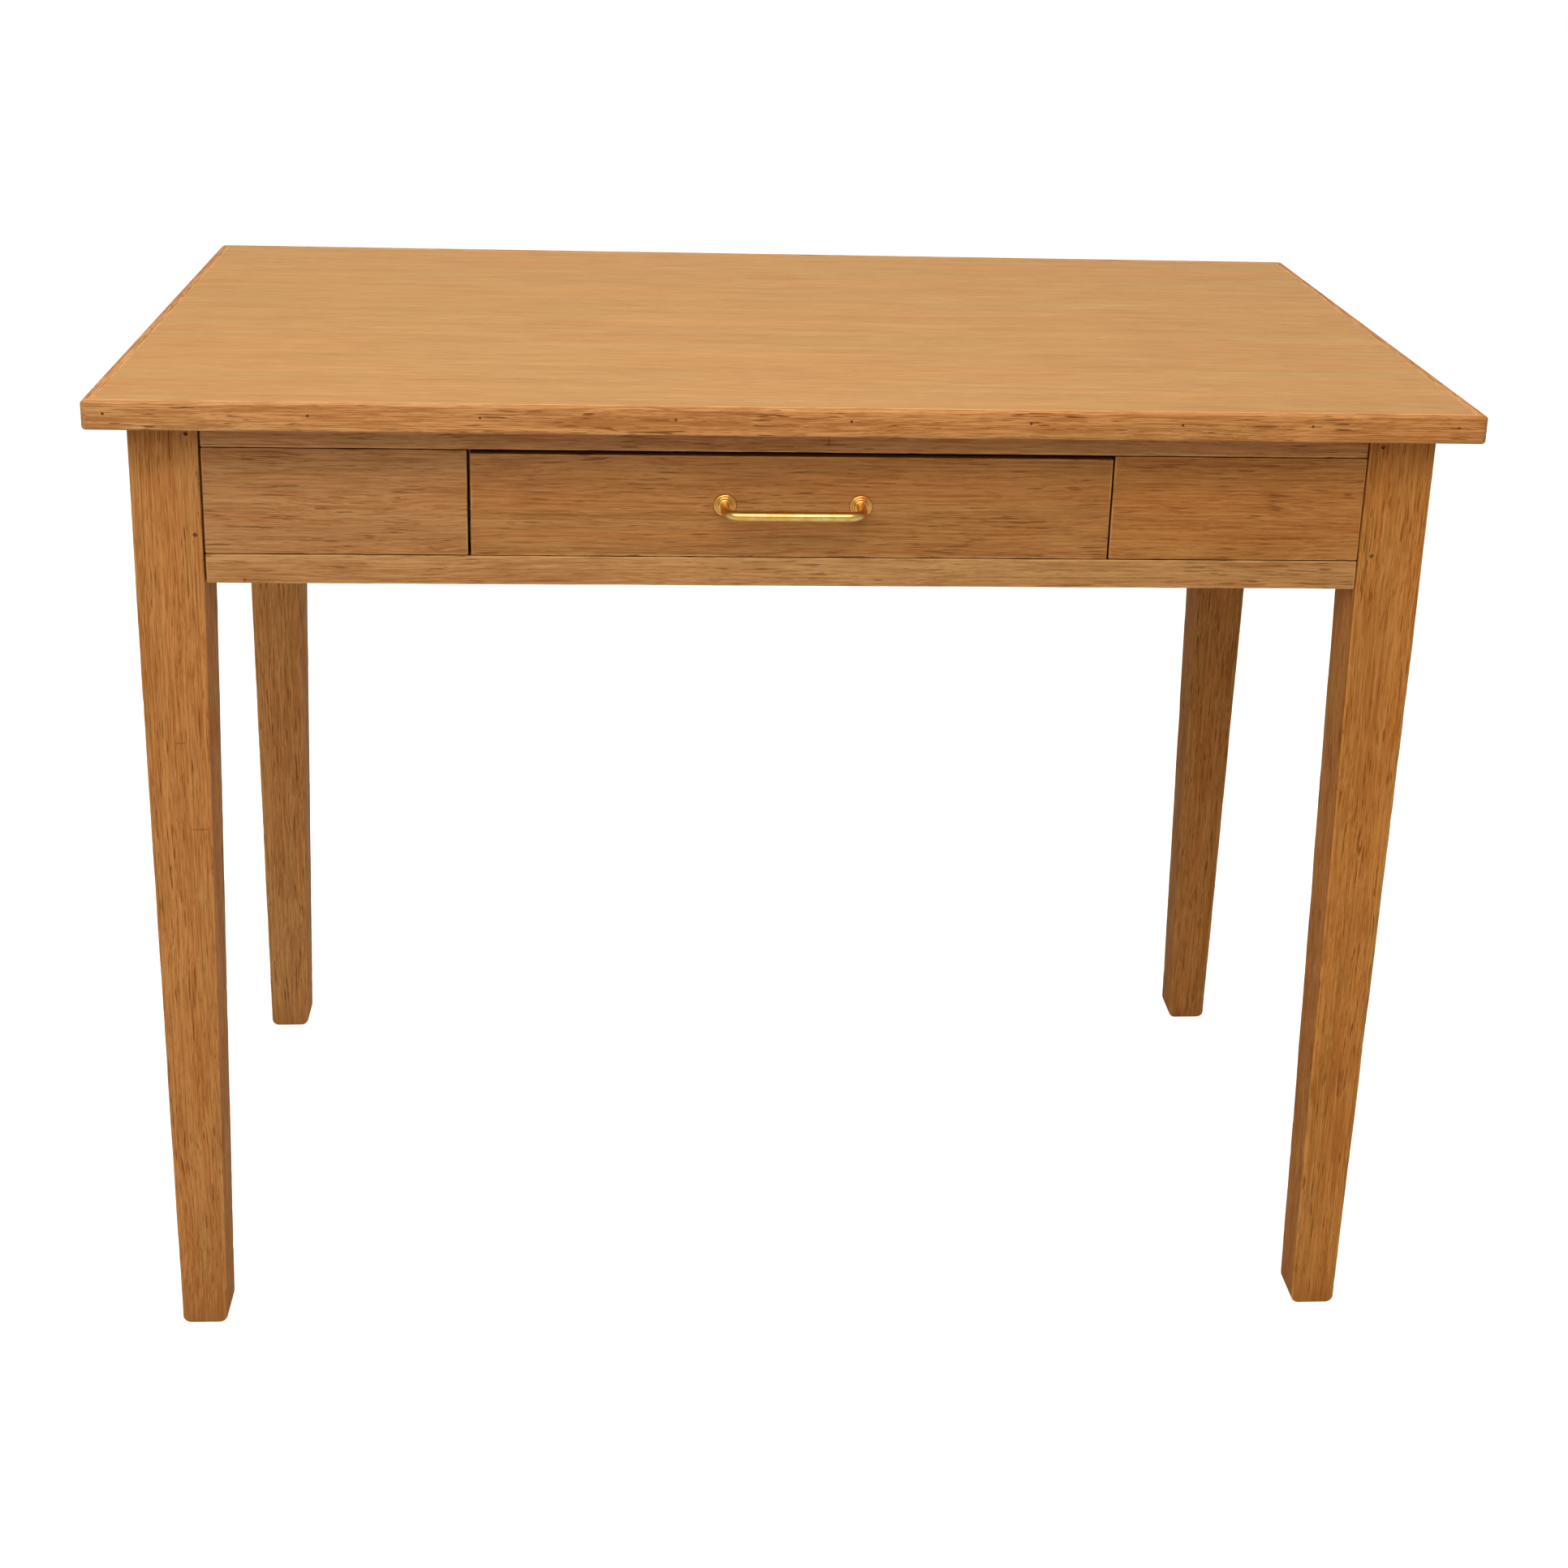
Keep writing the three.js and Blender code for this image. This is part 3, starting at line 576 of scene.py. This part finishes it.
def distance_to_lines(bm, lines):
    """How far each vertex is from the nearest of the straight lines."""
    places = np.array([vert.co for vert in bm.verts])
    nearest = np.full(len(places), np.inf)
    for start, end in lines:
        span = np.array(end - start)
        from_start = places - np.array(start)
        share = np.clip(from_start @ span / (span @ span), 0.0, 1.0)
        nearest = np.minimum(nearest, np.linalg.norm(from_start - share[:, None] * span, axis=1))
    return nearest


def wear_arrises(bm, arrises, depth, seed):
    """Rubs the arrises down by about depth, with a few deeper chips, and marks the wear, which
    the colour also uses for a painted highlight.
    """
    layer = bm.verts.layers.float.new("wear")
    offset = Vector((seed * 1.7, seed * 0.9, seed * 2.3))
    amounts = np.maximum(0.0, 1.0 - distance_to_lines(bm, arrises) / WEAR_REACH)
    for vert, amount in zip(bm.verts, amounts):
        vert[layer] = amount
        if amount > 0:
            slow = noise.noise(vert.co * SLOW_WEAR + offset)
            quick = noise.noise(vert.co * QUICK_WEAR + offset)
            chip = max(0.0, noise.noise(vert.co * CHIPS - offset) - CHIP_GATE) * CHIP_DEPTH
            rub = max(0.0, 0.3 + 0.8 * slow + 0.4 * quick) + chip
            vert.co -= vert.normal * (depth * amount * rub)


def mark_joint_dirt_and_shade(bm):
    """Marks the narrow faces between the front pieces, which are painted darker as dirt and as
    painted shade in the gaps.
    """
    layer = bm.verts.layers.float.new("grime")
    lowest = DRAWER_LOW[2] - 6 * MM
    for vert in bm.verts:
        turned_away = 1.0 - abs(vert.normal.y)
        within = vert.co.z > lowest
        vert[layer] = min(1.0, max(0.0, (turned_away - 0.35) / 0.4)) * within


def show(bm, name, node, material):
    """Makes the finished mesh the piece that stands for a CAD node."""
    mesh = bpy.data.meshes.new(name)
    bm.to_mesh(mesh)
    bm.free()
    piece = bpy.data.objects.new(name, mesh)
    bpy.context.scene.collection.objects.link(piece)
    mesh.materials.append(material)
    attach(piece, nodes[node]["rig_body"])
    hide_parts(node)
    return piece


def bevel(bm, edges, width, segments):
    bmesh.ops.bevel(
        bm,
        geom=edges,
        offset=width,
        segments=segments,
        profile=0.5,
        affect="EDGES",
        clamp_overlap=True,
    )


def fill_hollows(bm):
    """Turns a solid whose outside is convex into that outside alone."""
    hull = bmesh.ops.convex_hull(bm, input=bm.verts[:])
    kept = {face for face in hull["geom"] if isinstance(face, bmesh.types.BMFace)}
    bmesh.ops.delete(bm, geom=[face for face in bm.faces if face not in kept], context="FACES")
    loose = [vert for vert in bm.verts if not vert.link_faces]
    bmesh.ops.delete(bm, geom=loose, context="VERTS")


def cut_out(piece, cutters):
    """Cuts the other solids out of a piece."""
    for cutter in cutters:
        modifier = piece.modifiers.new("cut", "BOOLEAN")
        modifier.operation = "DIFFERENCE"
        modifier.solver = "EXACT"
        modifier.object = cutter
    depsgraph = bpy.context.evaluated_depsgraph_get()
    mesh = bpy.data.meshes.new_from_object(piece.evaluated_get(depsgraph))
    piece.modifiers.clear()
    mesh.name = piece.name
    piece.data = mesh


HOLE_SIDES = 20
HOLE_EXTRA = 4 * MM


def nail_hole(node, radius):
    """A cutter that clears a nail and reaches out through the face in front of it."""
    low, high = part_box(node)
    bm = bmesh.new()
    bmesh.ops.create_cone(
        bm,
        cap_ends=True,
        segments=HOLE_SIDES,
        radius1=radius,
        radius2=radius,
        depth=high[1] - low[1] + HOLE_EXTRA,
        matrix=Matrix.Rotation(math.pi / 2, 4, "X"),
    )
    bmesh.ops.translate(bm, verts=bm.verts[:], vec=(Vector(low) + Vector(high)) / 2)
    mesh = bpy.data.meshes.new("hole")
    bm.to_mesh(mesh)
    bm.free()
    hole = bpy.data.objects.new("hole", mesh)
    bpy.context.scene.collection.objects.link(hole)
    return hole


def cut_joints(piece, neighbours, nails, radius):
    """Cuts the neighbours' tenons and the nails' holes out of a piece."""
    holes = [nail_hole(nail, radius) for nail in nails]
    cut_out(piece, [nodes[name] for name in neighbours] + holes)
    for hole in holes:
        bpy.data.objects.remove(hole)


def planed(node, oak, arris=0.8 * MM, depth=0.3 * MM, step=14 * MM, roundings=(), with_joint_dirt_and_shade=False):
    """The CAD solid of a wooden piece, with rounded, eased and worn arrises.

    Each rounding is a test of an edge, a radius and a number of segments. A piece
    with roundings loses its mortises and holes, which cut_joints then cuts again.
    """
    bm = bmesh.new()
    bm.from_mesh(nodes[node].data)
    bmesh.ops.remove_doubles(bm, verts=bm.verts[:], dist=MERGE_DISTANCE)
    if roundings:
        fill_hollows(bm)
    bmesh.ops.dissolve_limit(bm, angle_limit=FLAT_ANGLE, verts=bm.verts[:], edges=bm.edges[:])
    for test, radius, segments in roundings:
        chosen = [edge for edge in sharp_edges(bm, SHORTEST_ROUNDED) if test(edge)]
        bevel(bm, chosen, radius, segments)
    shortest = SHORTEST_EASED_BESIDE_ROUNDED if roundings else SHORTEST_EASED
    eased = sharp_edges(bm, shortest)
    arrises = [(edge.verts[0].co.copy(), edge.verts[1].co.copy()) for edge in eased]
    bevel(bm, eased, arris, EASED_SEGMENTS)
    add_border_loops(bm, BORDER_WIDTH)
    add_stations(bm, oak.grain, step * (1))
    bm.normal_update()
    if with_joint_dirt_and_shade:
        mark_joint_dirt_and_shade(bm)
    wear_arrises(bm, arrises, depth, oak.seed)
    layer = bm.verts.layers.float["wear"]
    for face in bm.faces:
        worn = any(vert[layer] > 0 for vert in face.verts)
        face.smooth = worn or face.calc_area() < SMALL_FACE_AREA
    return show(bm, f"{node}_oak", node, oak_material(f"{node}_oak", oak))


# Each piece's mean colour, and where the log's pith ran beside it, mm.
FRONT_OAK = {
    "upper_front_rail": ((172, 119, 70), (-226.0, 300.0)),
    "lower_front_rail": ((167, 118, 69), (-180.0, 240.0)),
    "front_panel_left": ((159, 108, 61), (-420.0, 330.0)),
    "front_panel_right": ((161, 105, 53), (-90.0, 300.0)),
    "drawer_front": ((156, 103, 54), (-330.0, 330.0)),
}

# Scratches and dents: middle x and z, half width and half height, mm.
MARKS = {
    "front_left": (
        (-422.5, 424.0, 6.5, 0.35),
        (-433.0, 492.0, 4.0, 0.3),
        (-437.0, 352.0, 0.4, 8.0),
        (-428.0, 118.0, 0.6, 9.0),
        (-434.0, 92.0, 0.5, 7.0),
    ),
    "upper_front_rail": ((24.0, 720.0, 0.5, 3.0),),
    "lower_front_rail": ((-383.0, 615.0, 0.9, 2.2),),
}

APRON_COLOUR = (164, 108, 55)
# The top's veneer is painted paler than the solid oak; part of that paleness is a painted sheen.
VENEER_COLOUR = (177, 127, 69)
LIPPING_COLOUR = (174, 118, 65)
BEECH_COLOUR = (208, 174, 126)
PLY_COLOUR = (220, 190, 142)

# Painted light falloff: the left end of the front is painted a little lighter and the right end
# a little darker, as the light falls from the left.
FRONT_LIGHT_FALLOFF = ((1.03, 1.05, 1.12), (0.97, 0.94, 0.88))

LEG_OAK = {
    "front_left": ((169, 111, 58), (-900.0, -420.0)),
    "front_right": ((168, 108, 50), (780.0, -520.0)),
    "rear_left": ((166, 112, 61), (-820.0, 560.0)),
    "rear_right": ((154, 99, 48), (880.0, 520.0)),
}

FOOT_RADIUS = 6 * MM
PIN_HOLE_RADIUS = 1.5 * MM
NAIL_HOLE_RADIUS = 1.05 * MM


def is_foot_side(edge):
    """One of the two lower edges of a foot that run from front to back."""
    start, end = (vert.co for vert in edge.verts)
    return max(start.z, end.z) < 0.5 * MM and abs(start.x - end.x) < 1 * MM


def make_legs():
    for seed, (place, (colour, pith)) in enumerate(LEG_OAK.items(), start=1):
        oak = Oak(
            colour,
            "z",
            seed,
            pith=pith,
            ring=3.2,
            contrast=0.85,
            pores=0.65,
            dashes=0.8,
            flecks=0.5,
            roughness=(0.55, 0.75),
            specular=0.03,
            grimy_foot=True,
            marks=MARKS.get(place, ()),
        )
        leg = planed(
            f"leg_{place}",
            oak,
            arris=1.4 * MM,
            depth=0.8 * MM,
            step=3.5 * MM,
            roundings=[(is_foot_side, FOOT_RADIUS, 6)],
        )
        row, side = place.split("_")
        neighbours = [f"side_apron_{side}"]
        pins = []
        if row == "front":
            neighbours += ["upper_front_rail", "lower_front_rail", f"front_panel_{side}"]
            pins = [f"leg_pin_{side}_upper", f"leg_pin_{side}_lower"]
        else:
            neighbours.append("rear_apron")
        cut_joints(leg, neighbours, pins, PIN_HOLE_RADIUS)


def make_apron():
    for seed, (node, (colour, pith)) in enumerate(FRONT_OAK.items(), start=5):
        oak = Oak(
            colour,
            "x",
            seed,
            pith=pith,
            ring=2.8,
            contrast=0.75,
            dashes=0.7,
            # Painted light falloff along the front, lighter at the left.
            fade=FRONT_LIGHT_FALLOFF,
            # The joints are painted dark as dirt and as painted shade, half as strongly on the
            # drawer front.
            grime=0.5 if node == "drawer_front" else 1.0,
            marks=MARKS.get(node, ()),
        )
        planed(node, oak, arris=1.0 * MM, step=5 * MM, with_joint_dirt_and_shade=True)
    planed("rear_apron", Oak(APRON_COLOUR, "x", 10, pith=(240.0, 300.0)))
    for seed, side in enumerate(SIDES, start=11):
        planed(f"side_apron_{side}", Oak(APRON_COLOUR, "y", seed, pith=(456.0, 320.0)))


def inner_wood(seed, grain):
    """The pale, plain wood of the drawer box and what carries it."""
    return Oak(
        BEECH_COLOUR,
        grain,
        seed,
        pith=(700.0, 200.0),
        ring=2.4,
        contrast=0.35,
        pores=0.2,
        dashes=0.15,
    )


def make_drawer():
    for seed, side in enumerate(SIDES, start=13):
        planed(f"drawer_side_{side}", inner_wood(seed, "y"), arris=0.6 * MM)
        for kind in ("runner", "kicker", "guide", "stop"):
            planed(f"drawer_{kind}_{side}", inner_wood(seed + 4, "y"), arris=0.5 * MM)
    planed("drawer_back", inner_wood(15, "x"), arris=0.6 * MM)
    ply = Oak(
        PLY_COLOUR,
        "x",
        16,
        pith=(0.0, 3000.0),
        ring=9.0,
        contrast=0.3,
        pores=0.15,
        dashes=0.0,
    )
    planed("drawer_bottom", ply, arris=0.3 * MM)


CORNER_RADIUS = 4 * MM
RIM_RADIUS = 1.8 * MM
RIM_ARRIS = 0.15 * MM


def from_sides(edge):
    """How far an edge of the top is in from the nearest side, and from the front or rear."""
    place = middle(edge)
    half_depth = max(DESK_HIGH[1], -DESK_LOW[1])
    return DESK_HIGH[0] - abs(place.x), half_depth - abs(place.y)


def is_corner(edge):
    return max(from_sides(edge)) < 0.2 * MM


def is_rim(edge):
    """One of the upper and lower edges round the outside of the top."""
    height = middle(edge).z
    level = min(abs(height - TOP_HIGH[2]), abs(height - TOP_LOW[2]))
    inset = from_sides(edge)
    outside = min(inset) < 0.1 * MM or max(inset) < CORNER_RADIUS + 0.2 * MM
    return outside and level < 0.1 * MM


def make_top():
    veneer = Oak(
        VENEER_COLOUR,
        "x",
        20,
        pith=(2600.0, 1400.0),
        ring=2.6,
        contrast=0.42,
        pores=0.2,
        dashes=0.0,
        flecks=0.2,
        roughness=(0.38, 0.5),
        specular=0.25,
    )
    planed("top_panel", veneer, arris=RIM_ARRIS, depth=0.0, step=1.0)
    grains = {"front": "x", "rear": "x", "left": "y", "right": "y"}
    for seed, (place, grain) in enumerate(grains.items(), start=21):
        lipping = Oak(
            LIPPING_COLOUR,
            grain,
            seed,
            pith=(-150.0, 690.0),
            ring=2.6,
            contrast=1.3,
            pores=0.75,
            dashes=1.0,
            flecks=0.5,
            # Painted light falloff along the front, lighter at the left.
            fade=FRONT_LIGHT_FALLOFF,
        )
        strip = planed(
            f"lipping_{place}",
            lipping,
            arris=RIM_ARRIS,
            depth=0.25 * MM,
            step=4 * MM,
            roundings=[(is_corner, CORNER_RADIUS, 5), (is_rim, RIM_RADIUS, 4)],
        )
        if place == "front":
            nails = [name for name in nodes if name.startswith("lipping_nail")]
            cut_joints(strip, [], nails, NAIL_HOLE_RADIUS)


# ------------------------------------------------------------------ handle

HANDLE_CENTRES = 96 * MM
HANDLE_HEIGHT = 673.5 * MM
HANDLE_PROJECTION = 26 * MM
BAR_RADIUS = 3.5 * MM
BAR_START = 0.3 * MM  # out from the drawer front
BEND_RADIUS = 11 * MM
BEND_STEPS = 16
BAR_SIDES = 40
ROSETTE_SIDES = 64

# Radius and distance out from the drawer front, mm: a bead, a groove and a boss.
ROSETTE_PROFILE = (
    (8.0, 0.0),
    (8.0, 1.0),
    (7.9, 1.5),
    (7.6, 1.95),
    (7.1, 2.15),
    (6.6, 2.0),
    (6.25, 1.6),
    (5.9, 1.4),
    (5.3, 1.5),
    (5.0, 2.0),
    (4.8, 2.7),
    (4.45, 3.2),
    (3.9, 3.4),
    (3.0, 3.4),
)


def sweep(bm, points, tangents, radius, sides):
    """A round bar through the points; the bar bends only in the plane z = constant."""
    rings = []
    up = Vector((0.0, 0.0, 1.0))
    for point, tangent in zip(points, tangents):
        side = tangent.cross(up).normalized()
        ring = []
        for i in range(sides):
            angle = 2 * math.pi * i / sides
            spoke = math.cos(angle) * side + math.sin(angle) * up
            ring.append(bm.verts.new(point + radius * spoke))
        rings.append(ring)
    bridge(bm, rings)


def bridge(bm, rings):
    """Joins each ring of vertices to the next one, and closes both ends."""
    for lower, upper in zip(rings, rings[1:]):
        for i in range(len(lower)):
            j = (i + 1) % len(lower)
            bm.faces.new((lower[i], upper[i], upper[j], lower[j]))
    bm.faces.new(rings[0])
    bm.faces.new(list(reversed(rings[-1])))


def bar_path(face):
    """Out of one rosette, round a bend, along, and back into the other rosette."""
    half = HANDLE_CENTRES / 2
    out = HANDLE_PROJECTION - BEND_RADIUS
    path = [((-half, BAR_START), (0.0, -1.0)), ((-half, out / 2), (0.0, -1.0))]
    for i in range(BEND_STEPS + 1):
        angle = math.pi / 2 * i / BEND_STEPS
        place = (
            -half + BEND_RADIUS * (1 - math.cos(angle)),
            out + BEND_RADIUS * math.sin(angle),
        )
        path.append((place, (math.sin(angle), -math.cos(angle))))
    mirror = [((-x, y), (tx, -ty)) for (x, y), (tx, ty) in reversed(path)]
    points = [Vector((x, face - y, HANDLE_HEIGHT)) for (x, y), _ in path + mirror]
    tangents = [Vector((tx, ty, 0.0)) for _, (tx, ty) in path + mirror]
    return points, tangents


def turn_rosette(bm, centre):
    rings = []
    for radius, out in ROSETTE_PROFILE:
        ring = []
        for i in range(ROSETTE_SIDES):
            angle = 2 * math.pi * i / ROSETTE_SIDES
            spoke = Vector((math.cos(angle), 0.0, math.sin(angle)))
            place = centre + spoke * radius * MM - Vector((0.0, out * MM, 0.0))
            ring.append(bm.verts.new(place))
        rings.append(ring)
    bridge(bm, rings)


def make_handle(brass):
    face = DRAWER_LOW[1]
    bm = bmesh.new()
    sweep(bm, *bar_path(face), BAR_RADIUS, BAR_SIDES)
    finish_metal(bm, "handle_bar_brass", "handle_bar", brass)
    for side, sign in zip(SIDES, (-1, 1)):
        bm = bmesh.new()
        turn_rosette(bm, Vector((sign * HANDLE_CENTRES / 2, face, HANDLE_HEIGHT)))
        node = f"handle_rosette_{side}"
        finish_metal(bm, f"{node}_brass", node, brass)


def finish_metal(bm, name, node, material):
    bmesh.ops.recalc_face_normals(bm, faces=bm.faces[:])
    for face in bm.faces:
        face.smooth = len(face.verts) == 4
    show(bm, name, node, material)


def finish_small_parts():
    button = oak_material("button_oak", inner_wood(30, "x"))
    steel = steel_material("plain_steel", STEEL, 1.0, 0.3)
    nail = steel_material("set_nail", NAIL, 0.0, 0.7)
    for name, node in nodes.items():
        if name.startswith("top_button"):
            material = button
        elif name.startswith(("button_screw", "handle_screw")):
            material = steel
        elif "nail" in name or "pin" in name:
            material = nail
        else:
            continue
        node.data.materials.clear()
        node.data.materials.append(material)


# ------------------------------------------------------------------ stage, light and camera

FLOOR_RADIUS = 9.0
FLOOR_GREY = (0.5, 0.5, 0.5, 1.0)
FLOOR_GLOW = 0.18
FLOOR_GLOW_IN_VIEW = 0.62  # added where the floor is the background
SKY_LIGHT = 0.42
SKY_IN_VIEW = 1.0

# Name, place, aim, width and height, and power in watts.
LIGHTS = (
    ("key", (-0.8, -2.5, 2.35), (0.0, 0.0, 0.6), (2.8, 1.5), 50.0),
    ("strip", (0.15, -1.8, 2.4), (0.0, -0.25, 0.67), (1.4, 0.7), 15.0),
    ("overhead", (-0.2, 0.3, 2.6), (0.0, 0.0, 0.7), (2.4, 1.8), 34.0),
    ("side_fill", (2.6, 0.7, 0.6), (0.0, 0.2, 0.5), (1.2, 1.0), 10.0),
)

CAMERA_PLACE = (-0.1098, -1.7474, 1.1539)
CAMERA_YAW = 4.45  # degrees, as are the next two
CAMERA_TILT = 17.01
CAMERA_ROLL = 1.8
CAMERA_LENS = 52.1
SENSOR_WIDTH = 36.0
CAMERA_SHIFT = (-0.0139, -0.1894)


def make_floor():
    bm = bmesh.new()
    bmesh.ops.create_circle(bm, cap_ends=True, segments=96, radius=FLOOR_RADIUS)
    mesh = bpy.data.meshes.new("floor")
    bm.to_mesh(mesh)
    bm.free()
    floor = bpy.data.objects.new("floor", mesh)
    bpy.context.scene.collection.objects.link(floor)
    shader = Shader("pale_floor")
    shader.bsdf.inputs["Base Color"].default_value = FLOOR_GREY
    shader.bsdf.inputs["Roughness"].default_value = 1.0
    shader.bsdf.inputs["Specular IOR Level"].default_value = 0.0
    shader.bsdf.inputs["Emission Color"].default_value = WHITE
    in_view = shader.node("ShaderNodeLightPath").outputs["Is Camera Ray"]
    glow = shader.math("MULTIPLY_ADD", in_view, FLOOR_GLOW_IN_VIEW, FLOOR_GLOW)
    shader.link(glow, shader.bsdf.inputs["Emission Strength"])
    mesh.materials.append(shader.material)


def add_area_light(name, location, target, size, power):
    data = bpy.data.lights.new(name, "AREA")
    data.shape = "RECTANGLE"
    data.size, data.size_y = size
    data.energy = power
    light = bpy.data.objects.new(name, data)
    light.location = location
    direction = Vector(target) - Vector(location)
    light.rotation_euler = direction.to_track_quat("-Z", "Y").to_euler()
    bpy.context.scene.collection.objects.link(light)


def make_sky():
    """An even white sky, brighter behind the desk than on it."""
    world = bpy.data.worlds.new("studio")
    world.use_nodes = True
    tree = world.node_tree
    background = tree.nodes["Background"]
    background.inputs["Color"].default_value = WHITE
    paths = tree.nodes.new("ShaderNodeLightPath")
    level = tree.nodes.new("ShaderNodeMapRange")
    level.inputs["To Min"].default_value = SKY_LIGHT
    level.inputs["To Max"].default_value = SKY_IN_VIEW
    tree.links.new(paths.outputs["Is Camera Ray"], level.inputs["Value"])
    tree.links.new(level.outputs["Result"], background.inputs["Strength"])
    bpy.context.scene.world = world


def make_lights():
    make_sky()
    for name, location, target, size, power in LIGHTS:
        add_area_light(name, location, target, size, power)


def make_camera():
    """A slightly raised view from left of the middle, with the lens shifted down a little."""
    data = bpy.data.cameras.new("camera")
    data.lens = CAMERA_LENS
    data.sensor_width = SENSOR_WIDTH
    data.shift_x, data.shift_y = CAMERA_SHIFT
    camera = bpy.data.objects.new("camera", data)
    turn = Matrix.Rotation(-math.radians(CAMERA_YAW), 3, "Z")
    turn = turn @ Matrix.Rotation(math.pi / 2 - math.radians(CAMERA_TILT), 3, "X")
    turn = turn @ Matrix.Rotation(math.radians(CAMERA_ROLL), 3, "Z")
    camera.matrix_world = Matrix.Translation(CAMERA_PLACE) @ turn.to_4x4()
    bpy.context.scene.collection.objects.link(camera)
    bpy.context.scene.camera = camera
    bpy.context.scene.view_settings.view_transform = "Standard"


make_camera()
make_lights()
make_floor()
make_legs()
make_apron()
make_drawer()
make_top()
make_handle(brass_material())
finish_small_parts()
